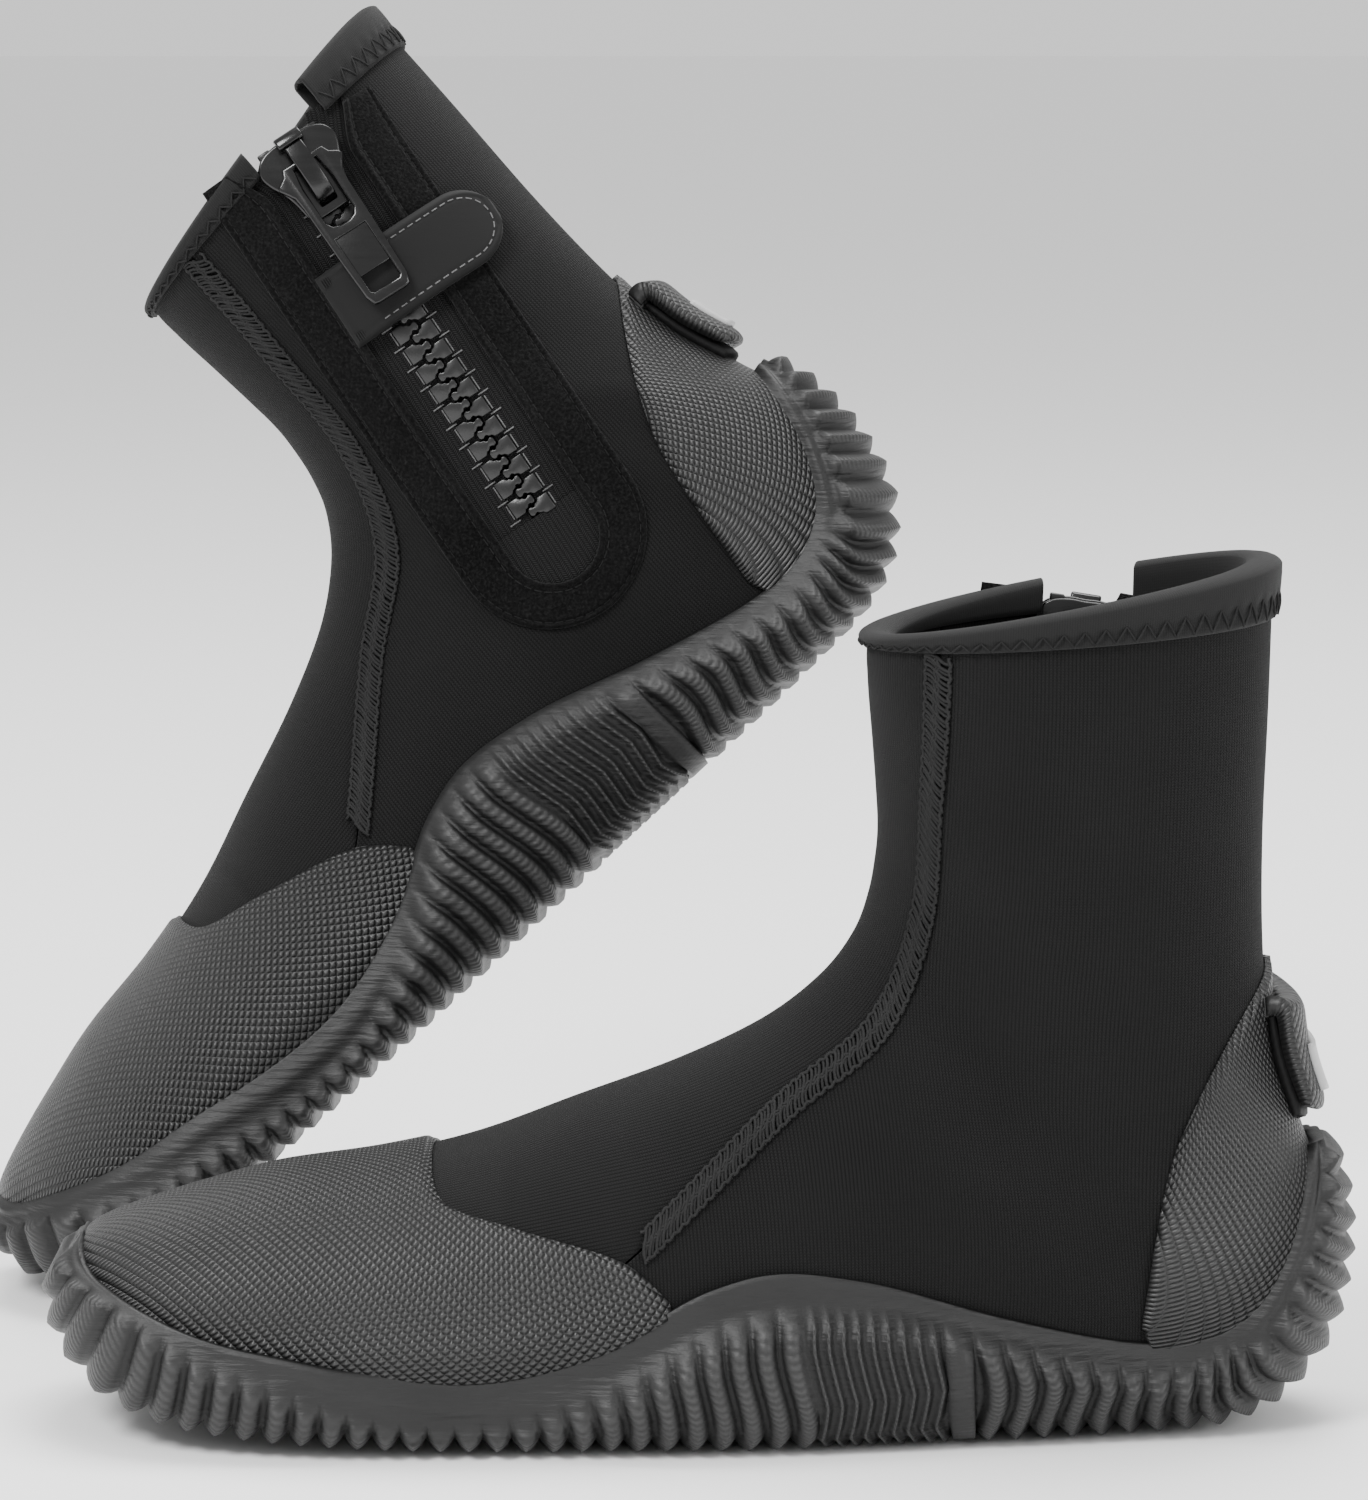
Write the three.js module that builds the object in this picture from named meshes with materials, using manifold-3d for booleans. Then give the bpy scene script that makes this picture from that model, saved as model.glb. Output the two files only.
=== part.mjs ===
// A pair of ankle-high neoprene water-sports boots with ribbed rubber cup soles.
// Frame: millimetres, +Z up, +X from toe to heel of the left boot, +Y from the left boot to the
// right one. The left boot stands flat. The right boot stands behind it, tipped up on its toe.
//
// Each boot is built on a "skin": the outer face of the neoprene sock. A section line fans round
// the foot from the nose of the toe (u = 0) to the collar (u = LAST). Its lower end runs along the
// sole and up the heel, its upper end over the toe and up the shin. An angle t goes round the
// section: 0 at the sole or heel, PI at the instep, positive on the big-toe (medial) side.
import * as THREE from 'three';
import { mergeVertices } from 'three/addons/utils/BufferGeometryUtils.js';
import Module from 'manifold-3d';

const wasm = await Module();
wasm.setup();

// ---- driving dimensions, mm ----
const LENGTH = 284; // foot-shaped skin, nose to heel
const HEIGHT = 188; // skin, sole to back of collar
const BREADTH = 88; // skin at the ball of the foot
const NEOPRENE = 4.5; // sock wall
const SHEET = 1.2; // toe and heel rubber, facing cloth, binding tape
const LAP = 0.5; // clearance between a layer and the one under it
const CAP_LAP = 1; // the same under the toe and heel rubber and the collar tape
const SOLE_LAP = 1; // clearance between the sock and the cup sole
const GAP = 0.4; // clearance between edges that meet
const SOLE = 8.4; // skin to the crests of the ribs
const RIB_DEPTH = 2.9;
const RIB_PITCH = 6.2;
const FINE_PITCH = 3.3; // ribs under the arch
const FLANGE = 3.2; // outsole's smooth top edge, from the skin
const INSOLE = 3;
const BINDING_DROP = 12; // visible depth of the collar tape
const SEAM_WIDTH = 7;
const FACING_HALF = 24.5; // zip facing, half its width
const SLOT_HALF = 11.6; // opening for the zip, half its width
const CHAIN_HALF = 4.4; // closed teeth, half their width
const TOOTH_PITCH = 5.7; // on one side
const TOOTH_HEIGHT = 3.4;
const TAPE = 0.8;
const SLIDER = [21, 20]; // length along the zip, width
const SLIDER_AT = 16.5; // down the zip from the collar
const SLIDER_PLATE = 1.5;
const PULL = [38, 11.5, 1.8]; // length, width, thickness
const STRAP = [41, 20, 1.6]; // lock strap: length, width, thickness
const STRAP_RISE = 1.4; // strap off the facing, for the hook patch
const STRAP_AT = 48.5; // down the zip from the collar
const KEEPER = [28, 26, 4.2]; // fin-strap keeper: height, width, plate thickness
const BOOT_SPACING = 140; // left boot's middle to the tipped boot's frame, along Y
const TIP = { yaw: 10.5, pitch: 41.8, roll: -12.9 }; // how the right boot is tipped, degrees
const TIP_AT = [-43.1, BOOT_SPACING, 86.7]; // where the tipped boot's frame origin is

// ---- the skin's stations at the reference size: x and z of the section line's lower and upper
// ends, half breadths on the little-toe and big-toe sides, how low the widest place is (1 is
// half way up) and how square the lower corners are (1 is an ellipse) ----
const REFERENCE = [284, 188, 88];
const STATIONS = [
  [-141.5, 31.6, -141.5, 31.6, 0, 0, 1, 0.9],
  [-142.5, 24.6, -136, 35.1, 13, 15, 1, 0.9],
  [-140.5, 15.6, -126, 39, 21, 24, 1.05, 0.85],
  [-132, 7.6, -112, 43.3, 31, 34, 1.3, 0.78],
  [-112, 3.8, -95, 47.8, 38, 40.5, 1.45, 0.74],
  [-85, 1.4, -72, 51.2, 43, 44, 1.45, 0.72],
  [-52, 0.3, -50, 56.6, 44.5, 43.5, 1.45, 0.72],
  [-15, 0, -27, 65.6, 42, 39, 1.4, 0.75],
  [22, 0, -4, 74.6, 38.5, 34.5, 1.35, 0.76],
  [60, 0, 15, 83.8, 35, 32.5, 1.25, 0.75],
  [95, 0.4, 27.5, 93.6, 33, 32, 1.15, 0.74],
  [120, 2.4, 35, 103.6, 32.5, 32.5, 1.05, 0.74],
  [135.5, 11.6, 38.4, 112.6, 32.5, 32.5, 1, 0.76],
  [141, 26.6, 39.8, 121.6, 33, 33, 1, 0.78],
  [141, 43.6, 40.3, 129.6, 33.5, 33.5, 1, 0.8],
  [135.5, 59.6, 40, 137.6, 33.5, 33.5, 1, 0.8],
  [130, 76.6, 39.3, 145.6, 33.5, 33.5, 1, 0.82],
  [128, 99.6, 38.7, 153.6, 34, 34, 1, 0.84],
  [127.6, 126.6, 38, 161.6, 34.5, 34.5, 1, 0.86],
  [128.3, 156.6, 37.6, 166.6, 35, 35, 1, 0.88],
  [129, 188.6, 38, 171.6, 35.5, 35.5, 1, 0.9],
];
const LAST = STATIONS.length - 1;
const TOP_SQUARE = 0.95; // how square the section is at the instep

// ---- outlines seen from the side, x and z at the reference size, above the skin's sole ----
const SOLE_EDGE = [
  [-139.2, 33.6], [-134, 27], [-111.5, 18.7], [-88.7, 15], [-66.3, 11.5], [-44.1, 11.1],
  [-17.6, 18.8], [-4.3, 27.3], [13.4, 33], [22.2, 33.2], [44.5, 29.3], [62.3, 23.3],
  [100.5, 14.6], [120.9, 19.1], [131.5, 34.3], [136.2, 57],
];
const TOE_CAP_REAR = [[-7, 28.5], [-17.6, 37.2], [-40.1, 43.1], [-57, 47], [-61, 54.8]];
const HEEL_CAP_FRONT = [[99.3, 18], [103.9, 50.9], [109.6, 68.2], [118.8, 84.4], [129, 98]];
const SEAM = [
  [53, 190], [52.9, 163.7], [51.9, 139.2], [49.9, 110.1], [40, 85.7], [17.7, 67.1],
  [-13.2, 38.6], [-35, 21.6], [-52, 4],
];
const ZIP_TOP = [90.5, 181.5]; // middle of the zip at the collar's edge
const ZIP_FOOT = [69.5, 48]; // middle of the slot's lower end
const RIB_ZONES = { fineFrom: 27, fineTo: 57, barTo: 64 }; // along the sole, x

// ---- small mathematics ----
const SCALE = [LENGTH / REFERENCE[0], HEIGHT / REFERENCE[1], BREADTH / REFERENCE[2]];
const radians = THREE.MathUtils.degToRad;
const smooth = THREE.MathUtils.smoothstep;
const place = ([x, z]) => new THREE.Vector2(x * SCALE[0], SOLE + z * SCALE[1]);
const steps = (from, to, count) =>
  Array.from({ length: count + 1 }, (_, i) => from + ((to - from) * i) / count);

/** Catmull-Rom value of one column of the station table at u. */
function column(index, u) {
  const i = Math.min(Math.max(Math.floor(u), 0), LAST - 1);
  const f = u - i;
  const value = (k) => {
    if (k < 0) return 2 * STATIONS[0][index] - STATIONS[1][index];
    if (k > LAST) return 2 * STATIONS[LAST][index] - STATIONS[LAST - 1][index];
    return STATIONS[k][index];
  };
  const [a, b, c, d] = [value(i - 1), value(i), value(i + 1), value(i + 2)];
  const square = f * f * (2 * a - 5 * b + 4 * c - d);
  return 0.5 * (2 * b + f * (c - a) + square + f * f * f * (3 * b - a - 3 * c + d));
}

/** The section line at u: its ends, half breadths and shape. */
function section(u) {
  return {
    low: place([column(0, u), column(1, u)]),
    high: place([column(2, u), column(3, u)]),
    breadth: { lateral: column(4, u) * SCALE[2], medial: column(5, u) * SCALE[2] },
    sag: column(6, u),
    square: column(7, u),
  };
}

/** The skin's point at u and t. */
function skin(u, t) {
  const s = section(u);
  const turn = Math.atan2(Math.sin(t), Math.cos(t));
  const angle = Math.abs(turn);
  const rise = ((1 - Math.cos(angle)) / 2) ** s.sag;
  const power = s.square + ((TOP_SQUARE - s.square) * angle) / Math.PI;
  const half = turn > 0 ? s.breadth.medial : s.breadth.lateral;
  const across = Math.max(Math.sin(angle), 0) ** power * half * Math.sign(turn);
  const side = s.low.clone().lerp(s.high, rise);
  return new THREE.Vector3(side.x, across, side.y);
}

/** A point off the skin by a distance, outwards where it is positive. */
function off(u, t, distance) {
  const d = 0.03;
  const along = skin(Math.min(u + d, LAST + 1), t).sub(skin(Math.max(u - d, 0.01), t));
  const around = skin(u, t + d).sub(skin(u, t - d));
  const normal = along.cross(around).normalize();
  return skin(u, t).addScaledVector(normal, -distance);
}

/** The angle t of the point a share of the way up the section line at u. */
function angleAt(u, share) {
  const s = Math.min(Math.max(share, 0), 1) ** (1 / section(u).sag);
  return Math.acos(1 - 2 * s);
}

/** The angle that a distance along the skin, round the section, takes up at u and t. */
const angleOf = (u, t, distance) => (0.05 * distance) / skin(u, t + 0.05).distanceTo(skin(u, t));

const outline = (points) => new THREE.SplineCurve(points.map(place)).getPoints(80);

/** Where an outline crosses the section line at u, as a share of the way up, or null. */
function crossing(u, points) {
  const { low, high } = section(u);
  const up = high.clone().sub(low);
  const sideOf = (p) => up.cross(p.clone().sub(low));
  for (let i = 1; i < points.length; i++) {
    const [a, b] = [sideOf(points[i - 1]), sideOf(points[i])];
    if (a * b > 0) continue;
    const p = points[i - 1].clone().lerp(points[i], a / (a - b || 1));
    const share = p.sub(low).dot(up) / up.lengthSq();
    if (share > -0.3 && share < 1.3) return share;
  }
  return null;
}

/** The u and t of a point seen from the side. */
function locate(p) {
  let [from, to] = [0.02, LAST + 0.6];
  for (let i = 0; i < 34; i++) {
    const middle = (from + to) / 2;
    const { low, high } = section(middle);
    const ahead = high.clone().sub(low).cross(p.clone().sub(low)) > 0;
    if (ahead) to = middle;
    else from = middle;
  }
  const { low, high } = section(from);
  const up = high.clone().sub(low);
  return [from, angleAt(from, p.clone().sub(low).dot(up) / up.lengthSq())];
}

// ---- closed solids ----
/** A geometry from points and triangles, turned inside out if its volume is negative. */
function solid(points, triangles) {
  let volume = 0;
  for (const [a, b, c] of triangles) {
    volume += points[a].dot(points[b].clone().cross(points[c]));
  }
  const geometry = new THREE.BufferGeometry();
  const flat = triangles.flatMap(([a, b, c]) => (volume < 0 ? [a, c, b] : [a, b, c]));
  geometry.setIndex(flat);
  const numbers = points.flatMap((p) => [p.x, p.y, p.z]);
  geometry.setAttribute('position', new THREE.Float32BufferAttribute(numbers, 3));
  return geometry;
}

/** Triangles between two rows of point numbers that may differ in how many they have. */
function zipper(a, b) {
  const triangles = [];
  let [i, j] = [0, 0];
  while (i < a.length - 1 || j < b.length - 1) {
    const ahead = (i + 1) / (a.length - 1) <= (j + 1) / (b.length - 1);
    if (j === b.length - 1 || (i < a.length - 1 && ahead)) {
      triangles.push([a[i], a[i + 1], b[j]]);
      i += 1;
    } else {
      triangles.push([a[i], b[j + 1], b[j]]);
      j += 1;
    }
  }
  return triangles;
}

/** A closed slab between an outer and an inner grid of points, which may be coarser. */
function slab(outer, inner) {
  const first = outer.flat().length;
  const sheet = (rows, start) => {
    const width = rows[0].length;
    const at = (i, j) => start + i * width + j;
    const [end, far] = [rows.length - 1, width - 1];
    const triangles = [];
    for (let i = 0; i < end; i++) {
      for (let j = 0; j < far; j++) {
        triangles.push([at(i, j), at(i, j + 1), at(i + 1, j + 1)]);
        triangles.push([at(i, j), at(i + 1, j + 1), at(i + 1, j)]);
      }
    }
    const edges = [
      steps(far, 0, far).map((j) => at(0, j)),
      steps(0, end, end).map((i) => at(i, 0)),
      steps(0, far, far).map((j) => at(end, j)),
      steps(end, 0, end).map((i) => at(i, far)),
    ];
    return { triangles, edges };
  };
  const outside = sheet(outer, 0);
  const inside = sheet(inner, first);
  const walls = outside.edges.flatMap((edge, k) => zipper(edge, inside.edges[k]));
  const back = inside.triangles.map(([p, q, r]) => [p, r, q]);
  return solid([...outer.flat(), ...inner.flat()], [...outside.triangles, ...back, ...walls]);
}

/** A layer of the boot between two offsets, over rows of u and from angle lo(u) to hi(u). */
function layer(rows, lo, hi, columns, inner, outer) {
  const grid = (distance) =>
    rows.map((u) => steps(lo(u), hi(u), columns).map((t) => off(u, t, distance)));
  return slab(grid(outer), grid(inner));
}

/** A layer between two outlines that share their ends, carried across both sides of the boot. */
function crescent(lower, upper, columns, rows, inner, outer) {
  const [below, above] = [lower, upper].map((curve) => new THREE.SplineCurve(curve));
  const closer = (s) => 0.02 + 0.98 * (1 - (1 - s) ** 2); // denser towards the middle line
  const halves = [...steps(0, 1, columns), ...steps(1, 0, columns).slice(1)].map(closer);
  const grid = (distance) => steps(0, 1, rows).map((s) => halves.map((v, i) => {
    const r = s ** 1.5; // denser towards the sole
    const [u0, t0] = locate(below.getPointAt(v));
    const [u1, t1] = locate(above.getPointAt(v));
    const side = i <= columns ? -1 : 1;
    const least = 0.04 * Math.abs(i - columns); // only the middle column lies on the middle line
    const between = Math.min(Math.max(t0 + (t1 - t0) * r, least), Math.PI - least);
    const t = least === 0 ? Math.round(t1 / Math.PI) * Math.PI : between;
    return off(u0 + (u1 - u0) * r, side * t, distance);
  }));
  return slab(grid(outer), grid(inner));
}

/** The manifold of a geometry, for cutting and joining. */
function manifold(geometry) {
  const bare = geometry.clone();
  bare.deleteAttribute('normal');
  bare.deleteAttribute('uv');
  const merged = mergeVertices(bare, 1e-4);
  return new wasm.Manifold(new wasm.Mesh({
    numProp: 3,
    vertProperties: new Float32Array(merged.attributes.position.array),
    triVerts: new Uint32Array(merged.index.array),
  }));
}

function geometryOf(body) {
  const mesh = body.getMesh();
  const geometry = new THREE.BufferGeometry();
  geometry.setAttribute('position', new THREE.BufferAttribute(mesh.vertProperties, 3));
  geometry.setIndex(new THREE.BufferAttribute(mesh.triVerts, 1));
  return geometry;
}

const join = (...geometries) => geometryOf(geometries.map(manifold).reduce((a, b) => a.add(b)));

// ---- the zip's own frame: w down the zip from the collar, e towards the toe ----
const zipTop = place(ZIP_TOP);
const zipFoot = place(ZIP_FOOT);
const zipDown = zipFoot.clone().sub(zipTop).normalize();
const zipFront = new THREE.Vector2(zipDown.y, -zipDown.x);
const ZIP_LENGTH = zipFoot.distanceTo(zipTop);
const SPREAD = 6.5; // how far each side stands off at the collar, above the slider
const MOUTH = SLIDER_AT + 2; // above this the two sides stand apart
const spread = (w) => SPREAD * (1 - smooth(w, 0, MOUTH));

const onZip = (w, e) =>
  zipTop.clone().addScaledVector(zipDown, w).addScaledVector(zipFront, e);

/** A point on the big-toe side at w and e, off the skin by a distance. */
function zipPoint(w, e, distance) {
  const [u, t] = locate(onZip(w, e));
  return off(u, t, distance);
}

/** A thin plate over the zip's frame, from an outline in w and e. */
function zipPlate(shape, inner, outer) {
  const geometry = new THREE.ExtrudeGeometry(shape, { depth: 1, bevelEnabled: false });
  const position = geometry.attributes.position;
  for (let i = 0; i < position.count; i++) {
    const distance = inner + (outer - inner) * position.getZ(i);
    const p = zipPoint(position.getX(i), position.getY(i), distance);
    position.setXYZ(i, p.x, p.y, p.z);
  }
  return geometry;
}

/** A straight-sided U in the zip's frame: open at the top, round at the foot. */
function zipU(half, foot, top, flare) {
  const rows = [top, ...steps(0, MOUTH, 8), foot - half];
  const side = (sign) => rows.map((w) => [w, sign * (half + flare * spread(Math.max(w, 0)))]);
  const round = steps(0, Math.PI, 10).slice(1, -1)
    .map((a) => [foot - half + half * Math.sin(a), half * Math.cos(a)]);
  return [...side(1), ...round, ...side(-1).reverse()];
}

/** A cutter that goes through the big-toe side along Y, from a U in the zip's frame. */
function sideCutter(half, foot, top, flare) {
  const points = zipU(half, foot, top, flare).map(([w, e]) => onZip(w, e));
  const depth = BREADTH;
  const geometry = new THREE.ExtrudeGeometry(new THREE.Shape(points), { depth, bevelEnabled: false });
  geometry.rotateX(Math.PI / 2).translate(0, depth + BREADTH / 8, 0);
  return manifold(geometry);
}

// ---- shared curves of one boot ----
const soleEdge = outline(SOLE_EDGE);
const seamLine = outline(SEAM);
const NOSE_SLIT = 0.05;

function soleAngle(u) {
  const share = crossing(u, soleEdge);
  const nose = u < 1;
  if (share === null) return nose ? Math.PI - NOSE_SLIT : 0.05;
  return Math.min(Math.max(angleAt(u, share), 0.05), Math.PI - NOSE_SLIT);
}

const SOCK = { middle: 6.7, reach: 5.9, angle: 0.85 }; // the sock's sole, in u and t
const sockAngle = (u) =>
  SOCK.angle * Math.sqrt(Math.max(0, 1 - ((u - SOCK.middle) / SOCK.reach) ** 2));
/** The gap between the sock's sole and the panels, as an angle: wider at the toe's tight bend. */
const edgeGap = (u) => (GAP / (BREADTH / 3)) * (4 - 3 * smooth(u, 2, 5));
const SEAM_FROM = 6.3; // where the seam meets the sock's sole

function seamAngle(u) {
  const share = crossing(u, seamLine);
  return share === null ? 0 : angleAt(u, share);
}

/** The front panel's lower edge. */
const vampEdge = (u) => {
  const sock = sockAngle(u) + edgeGap(u);
  return u < SEAM_FROM ? sock : Math.max(sock, seamAngle(u) + edgeGap(u) / 2);
};

const bindingDepth = (() => {
  const { low } = section(LAST);
  const drop = BINDING_DROP / (low.y - section(LAST - 1).low.y);
  return LAST - drop;
})();
const RIM = LAST - 0.02; // the panels end just below the binding's fold

/** Length along the sole's middle line, sampled for the ribs. */
const soleTop = locate(place(SOLE_EDGE.at(-1)))[0];
const soleLine = (() => {
  const samples = steps(0.05, soleTop, 900).map((u) => ({ u, at: section(u).low, length: 0 }));
  for (let i = 1; i < samples.length; i++) {
    samples[i].length = samples[i - 1].length + samples[i].at.distanceTo(samples[i - 1].at);
  }
  return samples;
})();

const soleU = (length) => soleLine.find((s) => s.length >= length)?.u ?? soleTop;
const soleLengthAt = (x) =>
  soleLine.find((s) => s.at.x >= x * SCALE[0] && s.u > 4).length;

/** The cup's inner face off the skin: looser round the toe and heel, where it bends most. */
const lining = (u) => SOLE_LAP + 1 - smooth(u, 2, 5) + 0.8 * smooth(u, 11, 12.5);
const LINING_STEP = 4; // rows of ribs to one row of the sole's smooth inner face

/** Rows of the outsole: where each crest and valley lies, and how high it is. */
function ribRows() {
  const rows = [{ u: 0.05, crest: 0 }, { u: 0.3, crest: 0 }];
  const { fineFrom, fineTo, barTo } = RIB_ZONES;
  const [fine, bar, heel] = [fineFrom, fineTo, barTo].map(soleLengthAt);
  const end = soleLine.at(-1).length - RIB_PITCH * 0.6;
  const band = (from, to, pitch) => {
    const count = Math.max(1, Math.round((to - from) / pitch));
    for (let i = 0; i < count; i++) {
      const at = from + ((to - from) * (i + 0.5)) / count;
      const half = (to - from) / count / 2;
      rows.push({ u: soleU(at - half * 0.98), crest: 0 }, { u: soleU(at), crest: 1 });
    }
  };
  band(RIB_PITCH * 0.8, fine, RIB_PITCH);
  band(fine, bar - 1, FINE_PITCH);
  rows.push({ u: soleU(bar - 0.6), crest: 0 }, { u: soleU(bar), crest: 1 });
  rows.push({ u: soleU(heel - 0.6), crest: 1 }, { u: soleU(heel), crest: 0 });
  band(heel + 0.5, end, RIB_PITCH);
  const missing = (LINING_STEP - (rows.length % LINING_STEP)) % LINING_STEP;
  const top = steps(end, end + RIB_PITCH * 0.4, missing + 1).slice(0, -1);
  rows.push(...top.map((length) => ({ u: soleU(length), crest: 0 })));
  return rows;
}

// ---- pieces ----
function outsole() {
  const both = (half) => [...half.toReversed().map((v) => -v), ...half];
  const columns = both([0.2, 0.58, 0.82, 1]);
  const insideColumns = both([0.12, 0.36, 0.58, 0.76, 0.9, 1]);
  const rows = ribRows();
  const flatTo = 0.55; // crests up to this angle stand on the ground where the sole is flat
  const outer = rows.map(({ u, crest }) => {
    const edge = soleAngle(u);
    const nose = smooth(u, 0, 1.4);
    return columns.map((v) => {
      const fade = 1 - smooth(Math.abs(v), 0.8, 1);
      const valley = FLANGE + (SOLE - RIB_DEPTH - FLANGE) * fade;
      const thin = lining(u) + 0.6;
      const p = off(u, v * edge, thin + (valley + RIB_DEPTH * crest * fade - thin) * nose);
      const ground = section(u).low.y - SOLE;
      if (crest && ground < 0.3 && Math.abs(v * edge) <= flatTo) p.z = 0;
      return p;
    });
  });
  const inside = rows.filter((_, i) => i % LINING_STEP === 0);
  const inner = inside.map(({ u }) => insideColumns.map((v) => off(u, v * soleAngle(u), lining(u))));
  return slab(outer, inner);
}

const ROWS = [0.1, 0.4, 0.8, 1.3, 2, 3, 4, 5, 6.1, 6.8, 7.5, 8.5, 9.5, 10.5, 11.4, 12.2, 13, 14, 15,
  16, 17.3, 18.6, RIM];

const lastingSock = () => {
  const rows = ROWS.filter((u) => u > 1.5 && u < 12.5);
  return layer(rows, (u) => -sockAngle(u), sockAngle, 6, -NEOPRENE, 0);
};

const insole = () => {
  const reach = (u) => 0.95 * sockAngle(u);
  const rows = ROWS.filter((u) => u > 1.5 && u < 11.6);
  return layer(rows, (u) => -reach(u), reach, 6, -NEOPRENE - LAP - INSOLE, -NEOPRENE - LAP);
};

const vamp = () =>
  layer(ROWS, (u) => vampEdge(u), (u) => 2 * Math.PI - vampEdge(u), 10, -NEOPRENE, 0);

function quarter(side) {
  const rows = ROWS.filter((u) => u > SEAM_FROM + 0.3);
  const from = (u) => Math.max(sockAngle(u) + edgeGap(u), edgeGap(u) / 2);
  const to = (u) => Math.max(seamAngle(u) - edgeGap(u) / 2, from(u) + 0.02);
  return layer(rows, (u) => side * from(u), (u) => side * to(u), 7, -NEOPRENE, 0);
}

function medialQuarter() {
  const cut = sideCutter(SLOT_HALF, ZIP_LENGTH, -20, 1);
  return geometryOf(manifold(quarter(1)).subtract(cut));
}

/** The toe rubber: a sheet over the toe, cut along its rear edge. */
function toeCap() {
  const rows = [0.62, 0.8, 1.05, 1.4, 1.9, 2.5, 3.3, 4.2, 5, 5.8, 6.6, 7.3];
  const lo = (u) => soleAngle(u) + angleOf(u, soleAngle(u), 2 * GAP);
  const sheet = layer(rows, lo, (u) => 2 * Math.PI - lo(u), 14, CAP_LAP, CAP_LAP + SHEET);
  const rear = new THREE.SplineCurve(TOE_CAP_REAR.map(place)).getPoints(14);
  const [foot, top] = [rear[0], rear.at(-1)];
  const ahead = -LENGTH;
  const corners = [[ahead, top.y + HEIGHT / 4], [ahead, -HEIGHT / 4], [foot.x, -HEIGHT / 4]];
  const above = new THREE.Vector2(top.x, top.y + HEIGHT / 4);
  const shape = new THREE.Shape([...corners.map((c) => new THREE.Vector2(...c)), ...rear, above]);
  const cutter = new THREE.ExtrudeGeometry(shape, { depth: 2 * BREADTH, bevelEnabled: false });
  cutter.rotateX(Math.PI / 2).translate(0, BREADTH, 0);
  return geometryOf(manifold(sheet).intersect(manifold(cutter)));
}

function heelCap() {
  const lower = soleEdge.filter((p) => p.x > place(HEEL_CAP_FRONT[0]).x)
    .map((p) => p.clone().add(new THREE.Vector2(-GAP, 3 * GAP)));
  const upper = HEEL_CAP_FRONT.map(place);
  return crescent(lower, upper, 8, 6, CAP_LAP, CAP_LAP + SHEET);
}

/** The collar tape: folded over the rim, open at the zip. */
function collarBinding() {
  const gap = SLIDER[1] / 2 + 1.4;
  const [from, to] = [-gap, gap].map((e) => locate(onZip(1, e))[1]);
  const turns = steps(to, from + 2 * Math.PI, 24);
  const fold = NEOPRENE + 2 * (CAP_LAP + SHEET);
  const thickness = SHEET;
  const ring = (t) => {
    const at = (u, distance) => off(u, t, distance);
    const lift = (distance, rise) => at(LAST, distance).add(new THREE.Vector3(0, 0, rise));
    const out = CAP_LAP + SHEET;
    const into = out - fold;
    return [
      at(bindingDepth, CAP_LAP), at(bindingDepth, out), lift(out, 0), lift(out - 1.4, 1.5),
      lift(into + 1.4, 1.5), lift(into, 0), at(bindingDepth, into),
      at(bindingDepth, into + thickness), lift(into + thickness, 0.2), lift(CAP_LAP, 0.2),
    ];
  };
  const rings = turns.map(ring);
  const count = rings[0].length;
  const points = rings.flat();
  const triangles = [];
  for (let i = 0; i < rings.length - 1; i++) {
    for (let j = 0; j < count; j++) {
      const next = (j + 1) % count;
      const [here, there] = [i * count, (i + 1) * count];
      triangles.push([here + j, here + next, there + next], [here + j, there + next, there + j]);
    }
  }
  const cap = [
    [0, 1, 9], [1, 2, 9], [2, 3, 9], [3, 8, 9], [3, 4, 8], [4, 5, 8], [5, 6, 8], [6, 7, 8],
  ];
  const end = (rings.length - 1) * count;
  triangles.push(...cap.map(([a, b, c]) => [a, c, b]));
  triangles.push(...cap.map((f) => f.map((k) => k + end)));
  return solid(points, triangles);
}

function seamBand(side) {
  const start = locate(place([-13.2, 38.6]))[0] + 0.35;
  const rows = steps(start, bindingDepth - 0.06, 13);
  const half = (u) => angleOf(u, seamAngle(u), SEAM_WIDTH / 2);
  const lo = (u) => side * (seamAngle(u) - half(u));
  const hi = (u) => side * (seamAngle(u) + half(u));
  return layer(rows, lo, hi, 2, LAP, LAP + 0.7);
}

/** The plush facing round the zip: a U cut out of a layer of cloth. */
function zipFacing() {
  const rows = [10.2, ...ROWS.filter((u) => u > 10.2 && u < bindingDepth - 0.1), bindingDepth - 0.06];
  const cloth = layer(rows, () => 0.35, () => 2.6, 9, LAP, LAP + SHEET);
  const whole = sideCutter(FACING_HALF, ZIP_LENGTH + 11, -20, 0);
  const slot = sideCutter(SLOT_HALF, ZIP_LENGTH, -30, 1);
  return geometryOf(manifold(cloth).intersect(whole).subtract(slot));
}

const TAPE_AT = -1.8; // the tape's under face, off the skin
const zipFrom = 3;
const RIM_SLOPE = 0.36; // the collar's edge against a line square to the zip
const zipTo = ZIP_LENGTH - SLOT_HALF - 3;

/** One side of the zip's woven tape. side is 1 towards the toe. */
function zipTape(side) {
  const [near, far] = [CHAIN_HALF + GAP, SLOT_HALF - GAP];
  const edge = (reach) => {
    const top = zipFrom + Math.max(0, side * (reach + SPREAD) * RIM_SLOPE);
    const rows = [...steps(top, MOUTH, 8), ...steps(MOUTH, zipTo, 5).slice(1)];
    return rows.map((w) => new THREE.Vector2(w, side * (reach + spread(w))));
  };
  const shape = new THREE.Shape([...edge(near), ...edge(far).reverse()]);
  return zipPlate(shape, TAPE_AT, TAPE_AT + TAPE);
}

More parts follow.
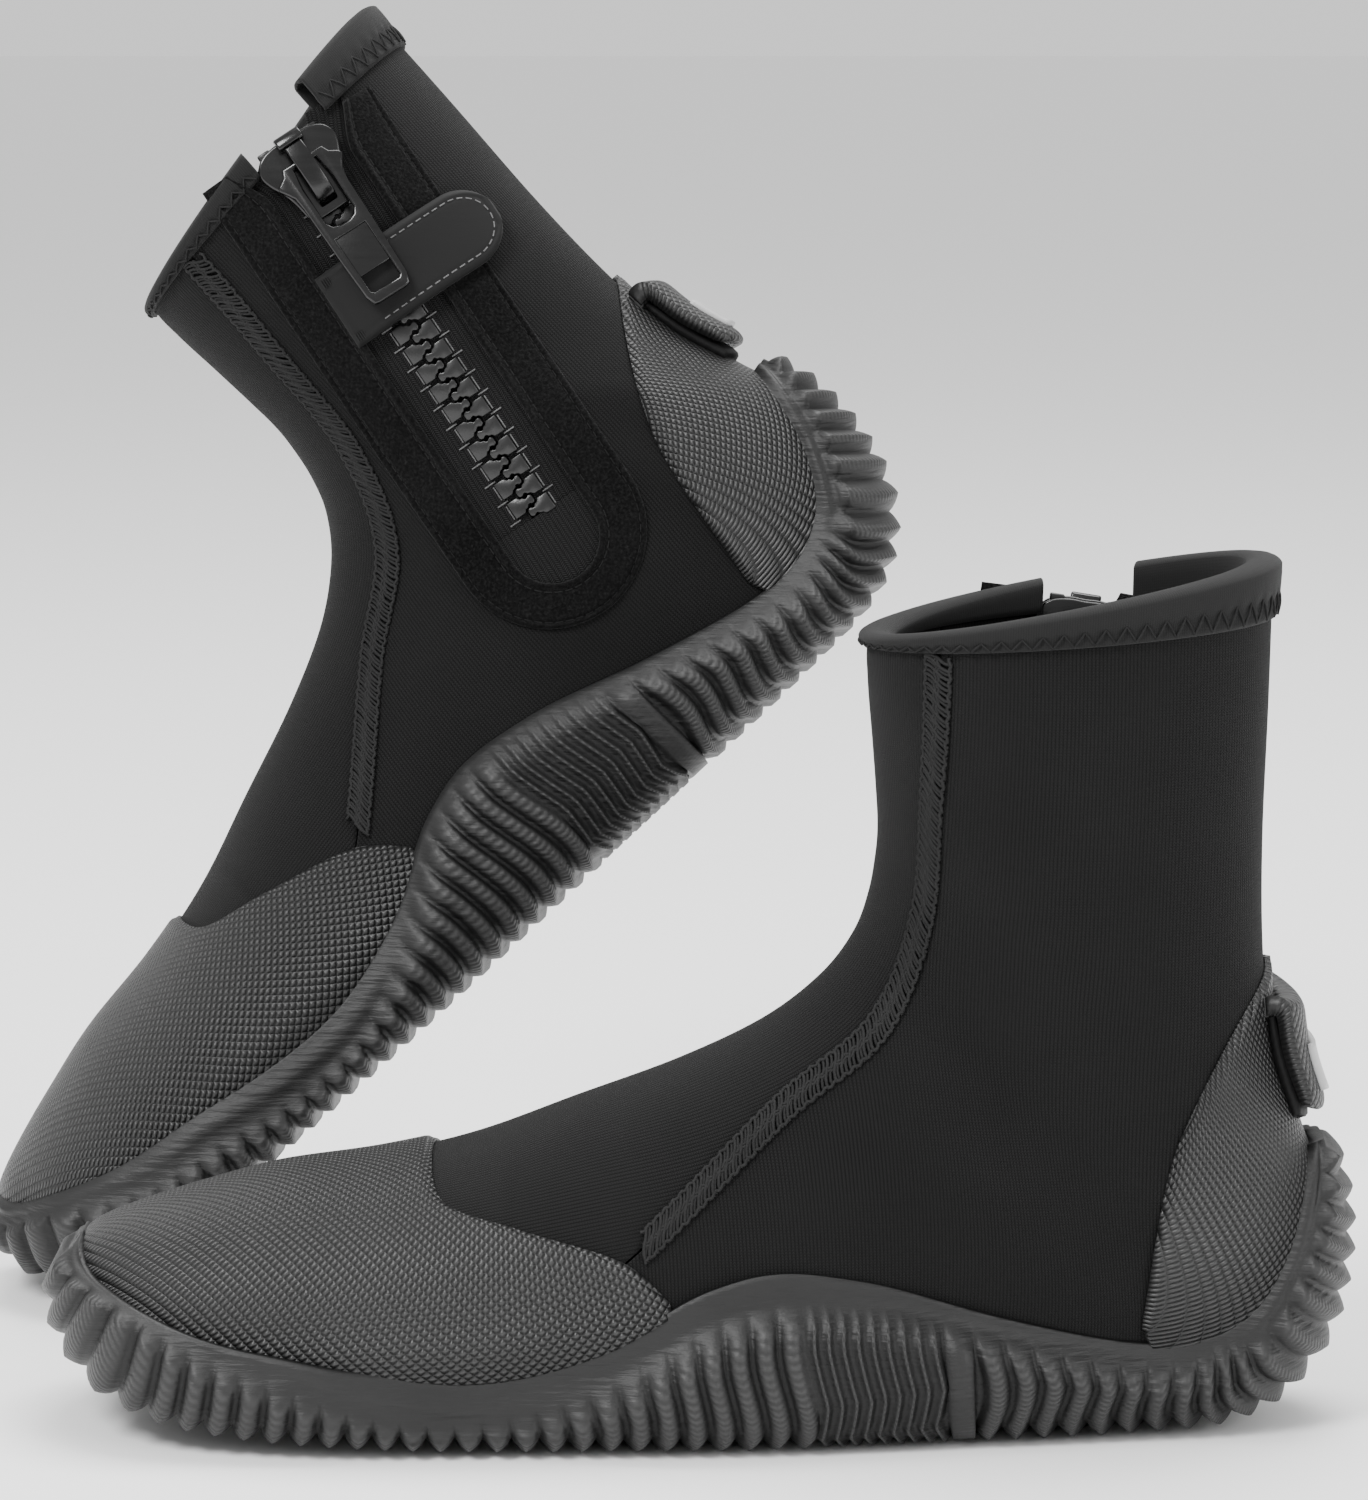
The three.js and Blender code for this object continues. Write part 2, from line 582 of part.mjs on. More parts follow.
const toothRows = () => {
  const [from, to] = [zipFrom + 6, zipTo - 4];
  const count = Math.floor((to - from) / TOOTH_PITCH);
  return steps(from, from + count * TOOTH_PITCH, count).slice(0, -1);
};

/** One side's teeth, joined by the cord they are moulded on. */
function zipTeeth(side) {
  const tooth = TOOTH_PITCH / 2 - GAP * 0.75;
  const shift = side > 0 ? 0 : TOOTH_PITCH / 2;
  const [tip, root, back] = [-1.1, CHAIN_HALF - 1.2, CHAIN_HALF];
  const at = (w, e) => new THREE.Vector2(w, side * (e + spread(w)));
  const points = [];
  for (const row of toothRows()) {
    const w = row + shift;
    points.push(at(w, root), at(w, tip), at(w + tooth, tip), at(w + tooth, root));
  }
  const last = points.at(-1).x;
  const first = points[0].x;
  const bend = steps(zipFrom, MOUTH, 8).filter((w) => w > first + 0.2);
  const spine = [...steps(last, MOUTH, 5).slice(0, -1), ...bend.reverse(), first].map((w) => at(w, back));
  const middle = TAPE_AT + TAPE / 2;
  const half = TOOTH_HEIGHT / 2;
  return zipPlate(new THREE.Shape([...points, ...spine]), middle - half, middle + half);
}

/** A small rectangular plate in the zip's frame. */
function zipBlock([w0, w1], [e0, e1], inner, outer, cells = 1) {
  const edge = (w, from, to) => steps(from, to, cells).map((e) => new THREE.Vector2(w, e));
  return zipPlate(new THREE.Shape([...edge(w0, e0, e1), ...edge(w1, e1, e0)]), inner, outer);
}

function topStop(side) {
  const reach = [0.6, CHAIN_HALF - 0.3].map((e) => side * (e + spread(zipFrom + 4)));
  return zipBlock([zipFrom + 2.6, zipFrom + 5.4], reach, TAPE_AT - 0.6, TAPE_AT + TAPE + 0.6);
}

const bottomStop = () =>
  zipBlock([zipTo - 3.4, zipTo - 0.6], [-3.4, 3.4], TAPE_AT - 0.6, TAPE_AT + TAPE + 0.4, 2);

/** The ribbed patch that closes the slot's round foot. */
function endPatch() {
  const inside = SLOT_HALF - GAP;
  const centre = ZIP_LENGTH - SLOT_HALF;
  const round = steps(0, Math.PI, 12).map((a) => [centre + inside * Math.sin(a), inside * Math.cos(a)]);
  const top = zipTo + GAP;
  const points = [[top, inside], ...round, [top, -inside]].map(([w, e]) => new THREE.Vector2(w, e));
  return zipPlate(new THREE.Shape(points), TAPE_AT - 0.2, TAPE_AT + TAPE + 0.5);
}

/** A flat frame standing on the zip at w: x down the zip, y towards the toe, z off the boot. */
function zipFrame(w, distance) {
  const origin = zipPoint(w, 0, distance);
  const x = zipPoint(w + 8, 0, distance).sub(zipPoint(w - 8, 0, distance)).normalize();
  const out = zipPoint(w, 0, distance + 1).sub(origin).normalize();
  const y = out.clone().cross(x).normalize();
  const z = x.clone().cross(y);
  return new THREE.Matrix4().makeBasis(x, y, z).setPosition(origin);
}

const box = (sizes, [x, y, z]) => new THREE.BoxGeometry(...sizes).translate(x, y, z);
const PLATE_GAP = TOOTH_HEIGHT / 2 + 0.8; // from the teeth's middle to a slider plate
const BRIDGE = { height: 4.4, width: 4, length: 15, thickness: 1.5 };

/** Slider: two shield-shaped plates, the post between them and the bridge that holds the pull. */
function sliderBody() {
  const [length, width] = SLIDER;
  const half = length / 2;
  const shield = new THREE.Shape([
    [-half, 0], [-half + 1, width * 0.3], [-half + 5, width / 2], [1, width * 0.43],
    [half - 3, width * 0.34], [half, width * 0.28], [half, -width * 0.28],
    [half - 3, -width * 0.34], [1, -width * 0.43], [-half + 5, -width / 2], [-half + 1, -width * 0.3],
  ].map(([x, y]) => new THREE.Vector2(x, y)));
  const plate = (z) =>
    new THREE.ExtrudeGeometry(shield, { depth: SLIDER_PLATE, bevelEnabled: false }).translate(0, 0, z);
  const post = box([3, 2.4, 2 * PLATE_GAP + 1], [-half + 2, 0, 0]);
  const top = PLATE_GAP + SLIDER_PLATE;
  const { height, width: wide, length: long, thickness } = BRIDGE;
  const [end, under, leg] = [long / 2, height - thickness, 1.8];
  const arch = new THREE.Shape([
    [-end, -0.5], [-end, height - 2], [-end + 2.4, height], [end - 3.4, height], [end, height - 3],
    [end, -0.5], [end - leg, -0.5], [end - leg, under - 1.9], [end - 4, under], [-end + 3, under],
    [-end + leg, under - 1.1], [-end + leg, -0.5],
  ].map(([x, z]) => new THREE.Vector2(x, z)));
  const bridge = new THREE.ExtrudeGeometry(arch, { depth: wide, bevelEnabled: false })
    .rotateX(Math.PI / 2).translate(0, wide / 2, top);
  return join(plate(-PLATE_GAP - SLIDER_PLATE), plate(PLATE_GAP), post, bridge);
}

const PIN = { from: -2.4, to: -0.9 }; // the pull's crossbar, along its length

/** Pull: a fork whose crossbar runs under the bridge, and a windowed tag. */
function pullTab() {
  const [length, width, thick] = PULL;
  const [half, end] = [width / 2, length - 2.6];
  const edge = [
    [PIN.from, half + 0.8], [0, half + 1.4], [5, half], [7, half - 1.2], [9, half - 0.4],
    [length - 4, half], [end, half - 1.4],
  ];
  const other = edge.toReversed().map(([x, y]) => [x, -y]);
  const ring = new THREE.Shape([...edge, ...other].map(([x, y]) => new THREE.Vector2(x, y)));
  const hole = (x0, x1, reach) => {
    const corners = [[x0, -reach], [x1, -reach], [x1, reach], [x0, reach]];
    return new THREE.Path(corners.map(([x, y]) => new THREE.Vector2(x, y)));
  };
  const fork = hole(PIN.to, 13.5, BRIDGE.width / 2 + GAP);
  const window = hole(length - 13, length - 6, half - 2.4);
  ring.holes.push(fork, window);
  return new THREE.ExtrudeGeometry(ring, { depth: thick, bevelEnabled: false });
}

// The crossbar turns half way between the slider's plate and its bridge.
const PULL_PIN = {
  w: SLIDER_AT - BRIDGE.length / 2 + 5.6 + GAP,
  rise: PLATE_GAP + SLIDER_PLATE + (BRIDGE.height - BRIDGE.thickness - PULL[2]) / 2,
  lift: 5, // degrees, so that the tag clears the strap
};

/** The lock strap lies across the chain, square and sewn at the toe side, round at the heel side. */
function lockStrap() {
  const [length, width, thickness] = STRAP;
  const [front, rear] = [SLOT_HALF + 1.5, SLOT_HALF + 1.5 - length];
  const round = width / 2;
  const columns = [...steps(front, rear + round, 7), ...steps(0, 1, 4).slice(1)
    .map((s) => rear + round * (1 - Math.sin((s * Math.PI) / 2) * 0.985))];
  const half = (e) => {
    const past = Math.max(0, rear + round - e);
    return Math.sqrt(Math.max(0, round ** 2 - past ** 2));
  };
  const grid = (distance) => columns.map((e) =>
    steps(-1, 1, 4).map((v) => zipPoint(STRAP_AT + v * half(e), e, distance)));
  const under = LAP + SHEET + STRAP_RISE;
  return slab(grid(under + thickness), grid(under));
}

const hookPatch = () => {
  const [length, width] = STRAP;
  const rear = SLOT_HALF + 1.5 - length;
  const [w0, w1] = [STRAP_AT - width * 0.3, STRAP_AT + width * 0.3];
  return zipBlock([w0, w1], [rear + 13, rear + 4], LAP + SHEET + GAP, LAP + SHEET + STRAP_RISE - GAP, 4);
};

/** The fin-strap keeper on the heel: a pad, a shelf over it and a plate hooked down behind. */
function keeperFrame() {
  const [height] = KEEPER;
  const [top, foot] = [[131, 94], [134.6, 94 - height]].map(place);
  const down = foot.clone().sub(top).normalize();
  const x = new THREE.Vector3(down.x, 0, down.y);
  const y = new THREE.Vector3(0, 1, 0);
  const z = x.clone().cross(y);
  const origin = new THREE.Vector3(top.x + LAP + SHEET + 1.2, 0, top.y);
  return new THREE.Matrix4().makeBasis(x, y, z).setPosition(origin);
}

function keeper() {
  const [height, width, plate] = KEEPER;
  const [pad, slot, shelf] = [3, 1, 3];
  const profile = new THREE.Shape([
    [0, 0], [height - 1, 0], [height - 1, pad], [shelf, pad], [shelf, pad + slot],
    [height, pad + slot], [height + 1, pad + slot + plate / 2], [height, pad + slot + plate],
    [1.5, pad + slot + plate], [0, pad + slot + plate - 1.5],
  ].map(([x, z]) => new THREE.Vector2(x, z)));
  return new THREE.ExtrudeGeometry(profile, { depth: width, bevelEnabled: false })
    .rotateX(Math.PI / 2).translate(0, width / 2, 0);
}

function keeperTag() {
  const [height, width, plate] = KEEPER;
  return box([12, width * 0.72, 1], [height * 0.66, 0, 3 + 1 + plate + 0.3 + 0.5]);
}

// ---- materials ----
const finish = (color, roughness, metalness = 0) =>
  new THREE.MeshStandardMaterial({ color, roughness, metalness });
const RUBBER = () => finish(0x333335, 0.62);
const TEXTURED = () => finish(0x3a3a3c, 0.7);
const CLOTH = () => finish(0x19191b, 0.95);
const TAPE_CLOTH = () => finish(0x2c2c2e, 0.85);
const THREAD = () => finish(0x323234, 0.9);
const RESIN = () => finish(0x101012, 0.35);
const METAL = () => finish(0x3c3c40, 0.28, 1);
const TAG = () => finish(0xb9bbbd, 0.45);

// ---- one boot, as a left one ----
const sliderFrame = zipFrame(SLIDER_AT, TAPE_AT + TAPE / 2);
const pullFrame = zipFrame(PULL_PIN.w, TAPE_AT + TAPE / 2 + PULL_PIN.rise)
  .multiply(new THREE.Matrix4().makeRotationY(-radians(PULL_PIN.lift)));

const PIECES = [
  ['outsole', outsole(), RUBBER],
  ['lasting_sock', lastingSock(), CLOTH],
  ['insole', insole(), CLOTH],
  ['toe_cap', toeCap(), TEXTURED],
  ['heel_cap', heelCap(), TEXTURED],
  ['fin_strap_keeper', keeper().applyMatrix4(keeperFrame()), RUBBER],
  ['keeper_tag', keeperTag().applyMatrix4(keeperFrame()), TAG],
  ['vamp', vamp(), CLOTH],
  ['lateral_quarter', quarter(-1), CLOTH],
  ['medial_quarter', medialQuarter(), CLOTH],
  ['collar_binding', collarBinding(), TAPE_CLOTH],
  ['lateral_seam', seamBand(-1), THREAD],
  ['medial_seam', seamBand(1), THREAD],
  ['zip_facing', zipFacing(), CLOTH],
  ['zip_tape_front', zipTape(1), TAPE_CLOTH],
  ['zip_tape_rear', zipTape(-1), TAPE_CLOTH],
  ['zip_teeth_front', zipTeeth(1), RESIN],
  ['zip_teeth_rear', zipTeeth(-1), RESIN],
  ['zip_top_stop_front', topStop(1), RESIN],
  ['zip_top_stop_rear', topStop(-1), RESIN],
  ['zip_bottom_stop', bottomStop(), RESIN],
  ['zip_end_patch', endPatch(), TAPE_CLOTH],
  ['slider_body', sliderBody().applyMatrix4(sliderFrame), METAL],
  ['pull_tab', pullTab().applyMatrix4(pullFrame), METAL],
  ['lock_strap', lockStrap(), CLOTH],
  ['strap_hook_patch', hookPatch(), TAPE_CLOTH],
];

/** The same geometry as its mirror image across the boot's middle plane. */
function mirrored(geometry) {
  const bare = geometry.index ? geometry.clone() : mergeVertices(geometry.clone().deleteAttribute('normal'));
  bare.scale(1, -1, 1);
  const index = Array.from(bare.index.array);
  for (let i = 0; i < index.length; i += 3) {
    [index[i], index[i + 1]] = [index[i + 1], index[i]];
  }
  bare.setIndex(index);
  return bare;
}

function boot(name, shape) {
  const group = new THREE.Group();
  for (const [piece, geometry, look] of PIECES) {
    const mesh = new THREE.Mesh(shape(geometry), look());
    mesh.name = `${name}_${piece}`;
    group.add(mesh);
  }
  return group;
}

const leftBoot = boot('left', (geometry) => geometry);
const rightBoot = boot('right', mirrored);
const turn = (axis, degrees) =>
  new THREE.Quaternion().setFromAxisAngle(new THREE.Vector3(...axis), radians(degrees));
rightBoot.quaternion.copy(turn([0, 0, 1], TIP.yaw))
  .multiply(turn([0, -1, 0], TIP.pitch))
  .multiply(turn([1, 0, 0], TIP.roll));
rightBoot.position.set(...TIP_AT);


// The tipped boot's lowest rib stands on the ground, and the pair's middle is the origin.
rightBoot.position.z -= new THREE.Box3().setFromObject(rightBoot, true).min.z;
const boots = new THREE.Group();
boots.add(leftBoot, rightBoot);
const middle = new THREE.Box3().setFromObject(boots, true).getCenter(new THREE.Vector3());
boots.position.set(-middle.x, -middle.y, 0);
export default boots;
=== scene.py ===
"""A pair of neoprene water-sports boots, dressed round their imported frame.

Every piece is laid on one "skin", the outer face of the neoprene sock, in a boot's own frame
(millimetres, toe to -X, ground at z = 0) and is then carried to its place in the row's frame.
A section line fans round the foot from the nose of the toe (u = 0) to the collar (u = LAST), and
an angle t goes round each section: 0 at the sole or heel, PI at the instep, positive on the
big-toe side.
"""

import logging
import math
from dataclasses import dataclass, field
from enum import Enum
from typing import Callable, Sequence

import bpy
import numpy as np
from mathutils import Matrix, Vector


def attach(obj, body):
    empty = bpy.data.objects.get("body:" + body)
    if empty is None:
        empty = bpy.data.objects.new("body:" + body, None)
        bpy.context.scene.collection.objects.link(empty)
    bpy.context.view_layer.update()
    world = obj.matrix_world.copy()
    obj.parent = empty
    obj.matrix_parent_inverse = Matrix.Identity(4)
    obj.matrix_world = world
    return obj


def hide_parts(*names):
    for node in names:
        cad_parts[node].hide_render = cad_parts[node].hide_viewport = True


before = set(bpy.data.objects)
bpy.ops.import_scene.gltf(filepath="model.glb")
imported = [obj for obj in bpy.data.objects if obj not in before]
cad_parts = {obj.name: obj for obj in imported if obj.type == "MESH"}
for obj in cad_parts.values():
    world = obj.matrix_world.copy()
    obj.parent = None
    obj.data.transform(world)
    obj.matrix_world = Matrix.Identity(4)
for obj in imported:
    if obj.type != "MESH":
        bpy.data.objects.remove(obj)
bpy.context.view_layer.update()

Array = np.ndarray
Object = bpy.types.Object
Socket = bpy.types.NodeSocket
log = logging.getLogger("boots")

MM = 0.001
PI = math.pi

# ---- the design's sizes, mm, as in the frame ----
NEOPRENE = 4.5  # sock wall
SOLE = 8.4  # ground to the skin's lowest point
RIB_DEPTH = 2.9
RIB_PITCH = 6.2
FINE_PITCH = 3.3  # the fine ribs under the arch
FLANGE = 3.2  # the cup sole's smooth top, off the skin
INSOLE = 3.0
COLLAR_DROP = 12.0  # folded tape, down from the rim
FACING_HALF = 24.5  # plush facing, half its width
SLOT_HALF = 11.6  # opening for the zip, half its width
TOOTH_PITCH = 5.7  # on one side
TOOTH_HEIGHT = 3.4
TAPE_AT = -1.8  # the tapes' inner face, off the skin
TAPE = 0.8
SLIDER_AT = 16.5  # down the zip from the collar
MOUTH = SLIDER_AT + 2  # where the two rows of teeth part
SPREAD = 6.5  # how far each row stands off its middle at the collar
STRAP = (41.0, 20.0, 1.6)  # length, width and thickness
STRAP_AT = 48.5  # down the zip from the collar
STRAP_OFF = 3.1  # the strap's inner face, off the skin
ZIP_FROM = 3.0  # where the tapes start
TOP_SQUARE = 0.95  # how square a section is at the instep
LEAST = 0.05  # how near u and t come to their ends
LEFT_AT = (13.7916, -80.5313, 0.0)
RIGHT_AT = (-43.1 + 13.7916, 140 - 80.5313, 86.6653)
RIGHT_TURN = (10.5, 41.8, -12.9)  # yaw, pitch and roll, degrees
COARSE, FINE, BAR = 0.0, 1.0, 2.0  # kinds of rows along the cup sole

# Section lines from the nose to the collar: x and z of the lower or rear end, x and z of the upper
# or front end, half widths on the little-toe and big-toe sides, and powers of rise and of width.
STATIONS = np.array([
    [-141.5, 31.6, -141.5, 31.6, 0, 0, 1, 0.9],
    [-142.5, 24.6, -136, 35.1, 13, 15, 1, 0.9],
    [-140.5, 15.6, -126, 39, 21, 24, 1.05, 0.85],
    [-132, 7.6, -112, 43.3, 31, 34, 1.3, 0.78],
    [-112, 3.8, -95, 47.8, 38, 40.5, 1.45, 0.74],
    [-85, 1.4, -72, 51.2, 43, 44, 1.45, 0.72],
    [-52, 0.3, -50, 56.6, 44.5, 43.5, 1.45, 0.72],
    [-15, 0, -27, 65.6, 42, 39, 1.4, 0.75],
    [22, 0, -4, 74.6, 38.5, 34.5, 1.35, 0.76],
    [60, 0, 15, 83.8, 35, 32.5, 1.25, 0.75],
    [95, 0.4, 27.5, 93.6, 33, 32, 1.15, 0.74],
    [120, 2.4, 35, 103.6, 32.5, 32.5, 1.05, 0.74],
    [135.5, 11.6, 38.4, 112.6, 32.5, 32.5, 1, 0.76],
    [141, 26.6, 39.8, 121.6, 33, 33, 1, 0.78],
    [141, 43.6, 40.3, 129.6, 33.5, 33.5, 1, 0.8],
    [135.5, 59.6, 40, 137.6, 33.5, 33.5, 1, 0.8],
    [130, 76.6, 39.3, 145.6, 33.5, 33.5, 1, 0.82],
    [128, 99.6, 38.7, 153.6, 34, 34, 1, 0.84],
    [127.6, 126.6, 38, 161.6, 34.5, 34.5, 1, 0.86],
    [128.3, 156.6, 37.6, 166.6, 35, 35, 1, 0.88],
    [129, 188.6, 38, 171.6, 35.5, 35.5, 1, 0.9],
])
LAST = len(STATIONS) - 1
RIM = LAST - 0.02  # where the panels end
# Outlines seen from the side: x, and z above the skin's lowest point.
SOLE_EDGE = [
    (-139.2, 33.6), (-134, 27), (-111.5, 18.7), (-88.7, 15), (-66.3, 11.5), (-44.1, 11.1),
    (-17.6, 18.8), (-4.3, 27.3), (13.4, 33), (22.2, 33.2), (44.5, 29.3), (62.3, 23.3),
    (100.5, 14.6), (120.9, 19.1), (131.5, 34.3), (136.2, 57),
]
TOE_CAP_REAR = [(-7, 28.5), (-17.6, 37.2), (-40.1, 43.1), (-57, 47), (-61, 54.8)]
HEEL_CAP_FRONT = [(99.3, 18), (103.9, 50.9), (109.6, 68.2), (118.8, 84.4), (129, 98)]
SEAM = [
    (53, 190), (52.9, 163.7), (51.9, 139.2), (49.9, 110.1), (40, 85.7), (17.7, 67.1),
    (-13.2, 38.6), (-35, 21.6), (-52, 4),
]
SEAM_FOOT = (-13.2, 38.6)  # where the toe cap covers the seam
ZIP_TOP = (90.5, 181.5)
ZIP_FOOT = (69.5, 48)


class Side(Enum):
    """Which boot of the pair."""

    LEFT = "left"
    RIGHT = "right"


def smooth(x: Array | float, low: float, high: float) -> Array:
    """Smooth step from 0 at low to 1 at high.

    Args:
        x: values to test.
        low: where the step starts.
        high: where the step ends.
    Returns:
        The step's value at each x.
    """
    f = np.clip((np.asarray(x, float) - low) / (high - low), 0, 1)
    return f * f * (3 - 2 * f)


def spline(points: Sequence[Sequence[float]], count: int) -> Array:
    """A smooth curve through points.

    Args:
        points: the points it goes through.
        count: how many points to return.
    Returns:
        Points along the curve, one a row.
    """
    p = np.asarray(points, float)
    s = np.linspace(0, len(p) - 1, count)
    i = np.clip(np.floor(s).astype(int), 0, len(p) - 2)
    f = (s - i)[:, None]
    a, b = p[np.maximum(i - 1, 0)], p[i]
    c, d = p[i + 1], p[np.minimum(i + 2, len(p) - 1)]
    v, w = (c - a) / 2, (d - b) / 2
    return (2 * b - 2 * c + v + w) * f**3 + (3 * c - 3 * b - 2 * v - w) * f**2 + v * f + b


def lengths(points: Array, axis: int) -> Array:
    """Length travelled along one axis of a grid of points.

    Args:
        points: the grid.
        axis: the axis to follow.
    Returns:
        The length from the axis's start at each point.
    """
    steps = np.linalg.norm(np.diff(points, axis=axis), axis=-1)
    start = np.zeros_like(np.take(steps, [0], axis=axis))
    return np.concatenate([start, np.cumsum(steps, axis=axis)], axis=axis)


class Skin:
    """The foot-shaped skin that every layer of a boot lies on."""

    def __init__(self) -> None:
        """Tabulates the outlines that the pieces share."""
        first, last = 2 * STATIONS[0] - STATIONS[1], 2 * STATIONS[-1] - STATIONS[-2]
        self.table = np.vstack([first, STATIONS, last])
        self.us = np.linspace(LEAST, LAST, 600)
        self.sole = np.array([
            self._edge(u, self.outline(SOLE_EDGE), PI - LEAST if u < 1 else LEAST)
            for u in self.us])
        self.sole = np.clip(self.sole, LEAST, PI - LEAST)
        eased = np.convolve(np.pad(self.sole, 8, mode="edge"), np.full(17, 1 / 17), "valid")
        arch = smooth(self.us, 4.6, 5.6) * (1 - smooth(self.us, 10.4, 11.2))
        self.sole = self.sole + (eased - self.sole) * arch
        self.seam = np.array([self._edge(u, self.outline(SEAM), 0.0) for u in self.us])
        self.down = self._flat(ZIP_FOOT) - self._flat(ZIP_TOP)
        self.zip_length = float(np.linalg.norm(self.down))
        self.down = self.down / self.zip_length
        self.front = np.array([self.down[1], -self.down[0]])
        self.zip_to = self.zip_length - SLOT_HALF - 3

    @staticmethod
    def _flat(point: Sequence[float]) -> Array:
        """A side-view point above the sole as one above the ground."""
        return np.array([point[0], point[1] + SOLE])

    def outline(self, points: Sequence[Sequence[float]]) -> Array:
        """A side-view outline above the ground."""
        return spline([self._flat(p) for p in points], 401)

    def collar_step(self) -> float:
        """Height from the last station but one to the last, at the back, mm."""
        return float((self.section(float(LAST)) - self.section(float(LAST - 1)))[1])

    def section(self, u: Array | float) -> Array:
        """The stations' values between stations.

        Args:
            u: where along the boot.
        Returns:
            The eight values at each u.
        """
        u = np.asarray(u, float)
        i = np.clip(np.floor(u).astype(int), 0, LAST - 1)
        f = (u - i)[..., None]
        a, b, c, d = (self.table[i + k] for k in range(4))
        bend = f * f * (2 * a - 5 * b + 4 * c - d) + f**3 * (3 * b - a - 3 * c + d)
        return 0.5 * (2 * b + f * (c - a) + bend)

    def at(self, u: Array | float, t: Array | float) -> Array:
        """The skin's points.

        Args:
            u: where along the boot.
            t: the angle round the section.
        Returns:
            Points in the boot's own frame, mm.
        """
        u, t = np.broadcast_arrays(np.asarray(u, float), np.asarray(t, float))
        s = self.section(u)
        turn = np.arctan2(np.sin(t), np.cos(t))
        angle = np.abs(turn)
        rise = ((1 - np.cos(angle)) / 2) ** s[..., 6]
        power = s[..., 7] + (TOP_SQUARE - s[..., 7]) * angle / PI
        half = np.where(turn > 0, s[..., 5], s[..., 4])
        across = np.clip(np.sin(angle), 0, None) ** power * half * np.sign(turn)
        x = s[..., 0] + (s[..., 2] - s[..., 0]) * rise
        z = s[..., 1] + (s[..., 3] - s[..., 1]) * rise + SOLE
        return np.stack([x, across, z], axis=-1)

    def normal(self, u: Array | float, t: Array | float) -> Array:
        """Unit vectors off the skin.

        Args:
            u: where along the boot.
            t: the angle round the section.
        Returns:
            A vector at each point, outwards.
        """
        d = 0.03
        along = self.at(np.minimum(np.add(u, d), LAST + 1), t)
        along = along - self.at(np.maximum(np.subtract(u, d), 0.01), t)
        around = self.at(u, np.add(t, d)) - self.at(u, np.subtract(t, d))
        n = -np.cross(along, around)
        return n / np.linalg.norm(n, axis=-1, keepdims=True)

    def off(self, u: Array | float, t: Array | float, distance: Array | float) -> Array:
        """Points off the skin by a distance."""
        d = np.asarray(distance, float)
        return self.at(u, t) + self.normal(u, t) * d[..., None]

    def angle_at(self, u: Array | float, share: Array | float) -> Array:
        """The angle t of the point a share of the way up the section line at u."""
        s = np.clip(share, 0, 1) ** (1 / self.section(u)[..., 6])
        return np.arccos(1 - 2 * s)

    def _edge(self, u: float, line: Array, missing: float) -> float:
        """The angle where a side-view outline crosses the section line at u.

        Args:
            u: where along the boot.
            line: the outline's points.
            missing: the angle where it doesn't cross.
        Returns:
            The angle t.
        """
        s = self.section(u)
        low, high = np.array([s[0], s[1] + SOLE]), np.array([s[2], s[3] + SOLE])
        up = high - low
        side = up[0] * (line[:, 1] - low[1]) - up[1] * (line[:, 0] - low[0])
        for i in np.nonzero(side[:-1] * side[1:] <= 0)[0]:
            f = side[i] / ((side[i] - side[i + 1]) or 1)
            p = line[i] + (line[i + 1] - line[i]) * f
            share = float((p - low) @ up / (up @ up))
            if -0.3 < share < 1.3:
                return float(self.angle_at(u, share))
        return missing

    def sole_angle(self, u: Array | float) -> Array:
        """The angle of the cup sole's top edge at u."""
        return np.interp(u, self.us, self.sole)

    def seam_angle(self, u: Array | float) -> Array:
        """The angle of the seam between the front and rear panels at u."""
        return np.interp(u, self.us, self.seam)

    def locate(self, points: Array) -> tuple[Array, Array]:
        """The u and t of points seen from the side.

        Args:
            points: x and z, one point a row.
        Returns:
            u and t, one value a point.
        """
        low = np.full(points.shape[:-1], 0.02)
        high = np.full(points.shape[:-1], LAST + 0.6)
        for _ in range(34):
            middle = (low + high) / 2
            s = self.section(middle)
            up = np.stack([s[..., 2] - s[..., 0], s[..., 3] - s[..., 1]], -1)
            to = points - np.stack([s[..., 0], s[..., 1] + SOLE], -1)
            ahead = up[..., 0] * to[..., 1] - up[..., 1] * to[..., 0] > 0
            low, high = np.where(ahead, low, middle), np.where(ahead, middle, high)
        share = (to * up).sum(-1) / (up * up).sum(-1)
        return low, self.angle_at(low, share)

    def zip_at(self, w: Array, e: Array) -> tuple[Array, Array]:
        """The u and t of points on the zip.

        Args:
            w: how far down it from the collar.
            e: how far towards the toe from its middle.
        Returns:
            u and t, one value a point.
        """
        w, e = np.broadcast_arrays(np.asarray(w, float), np.asarray(e, float))
        top = self._flat(ZIP_TOP)
        return self.locate(top + self.down * w[..., None] + self.front * e[..., None])

    def zip_point(self, w: Array, e: Array, distance: Array | float) -> Array:
        """Points on the zip, off the skin by a distance."""
        return self.off(*self.zip_at(w, e), distance)

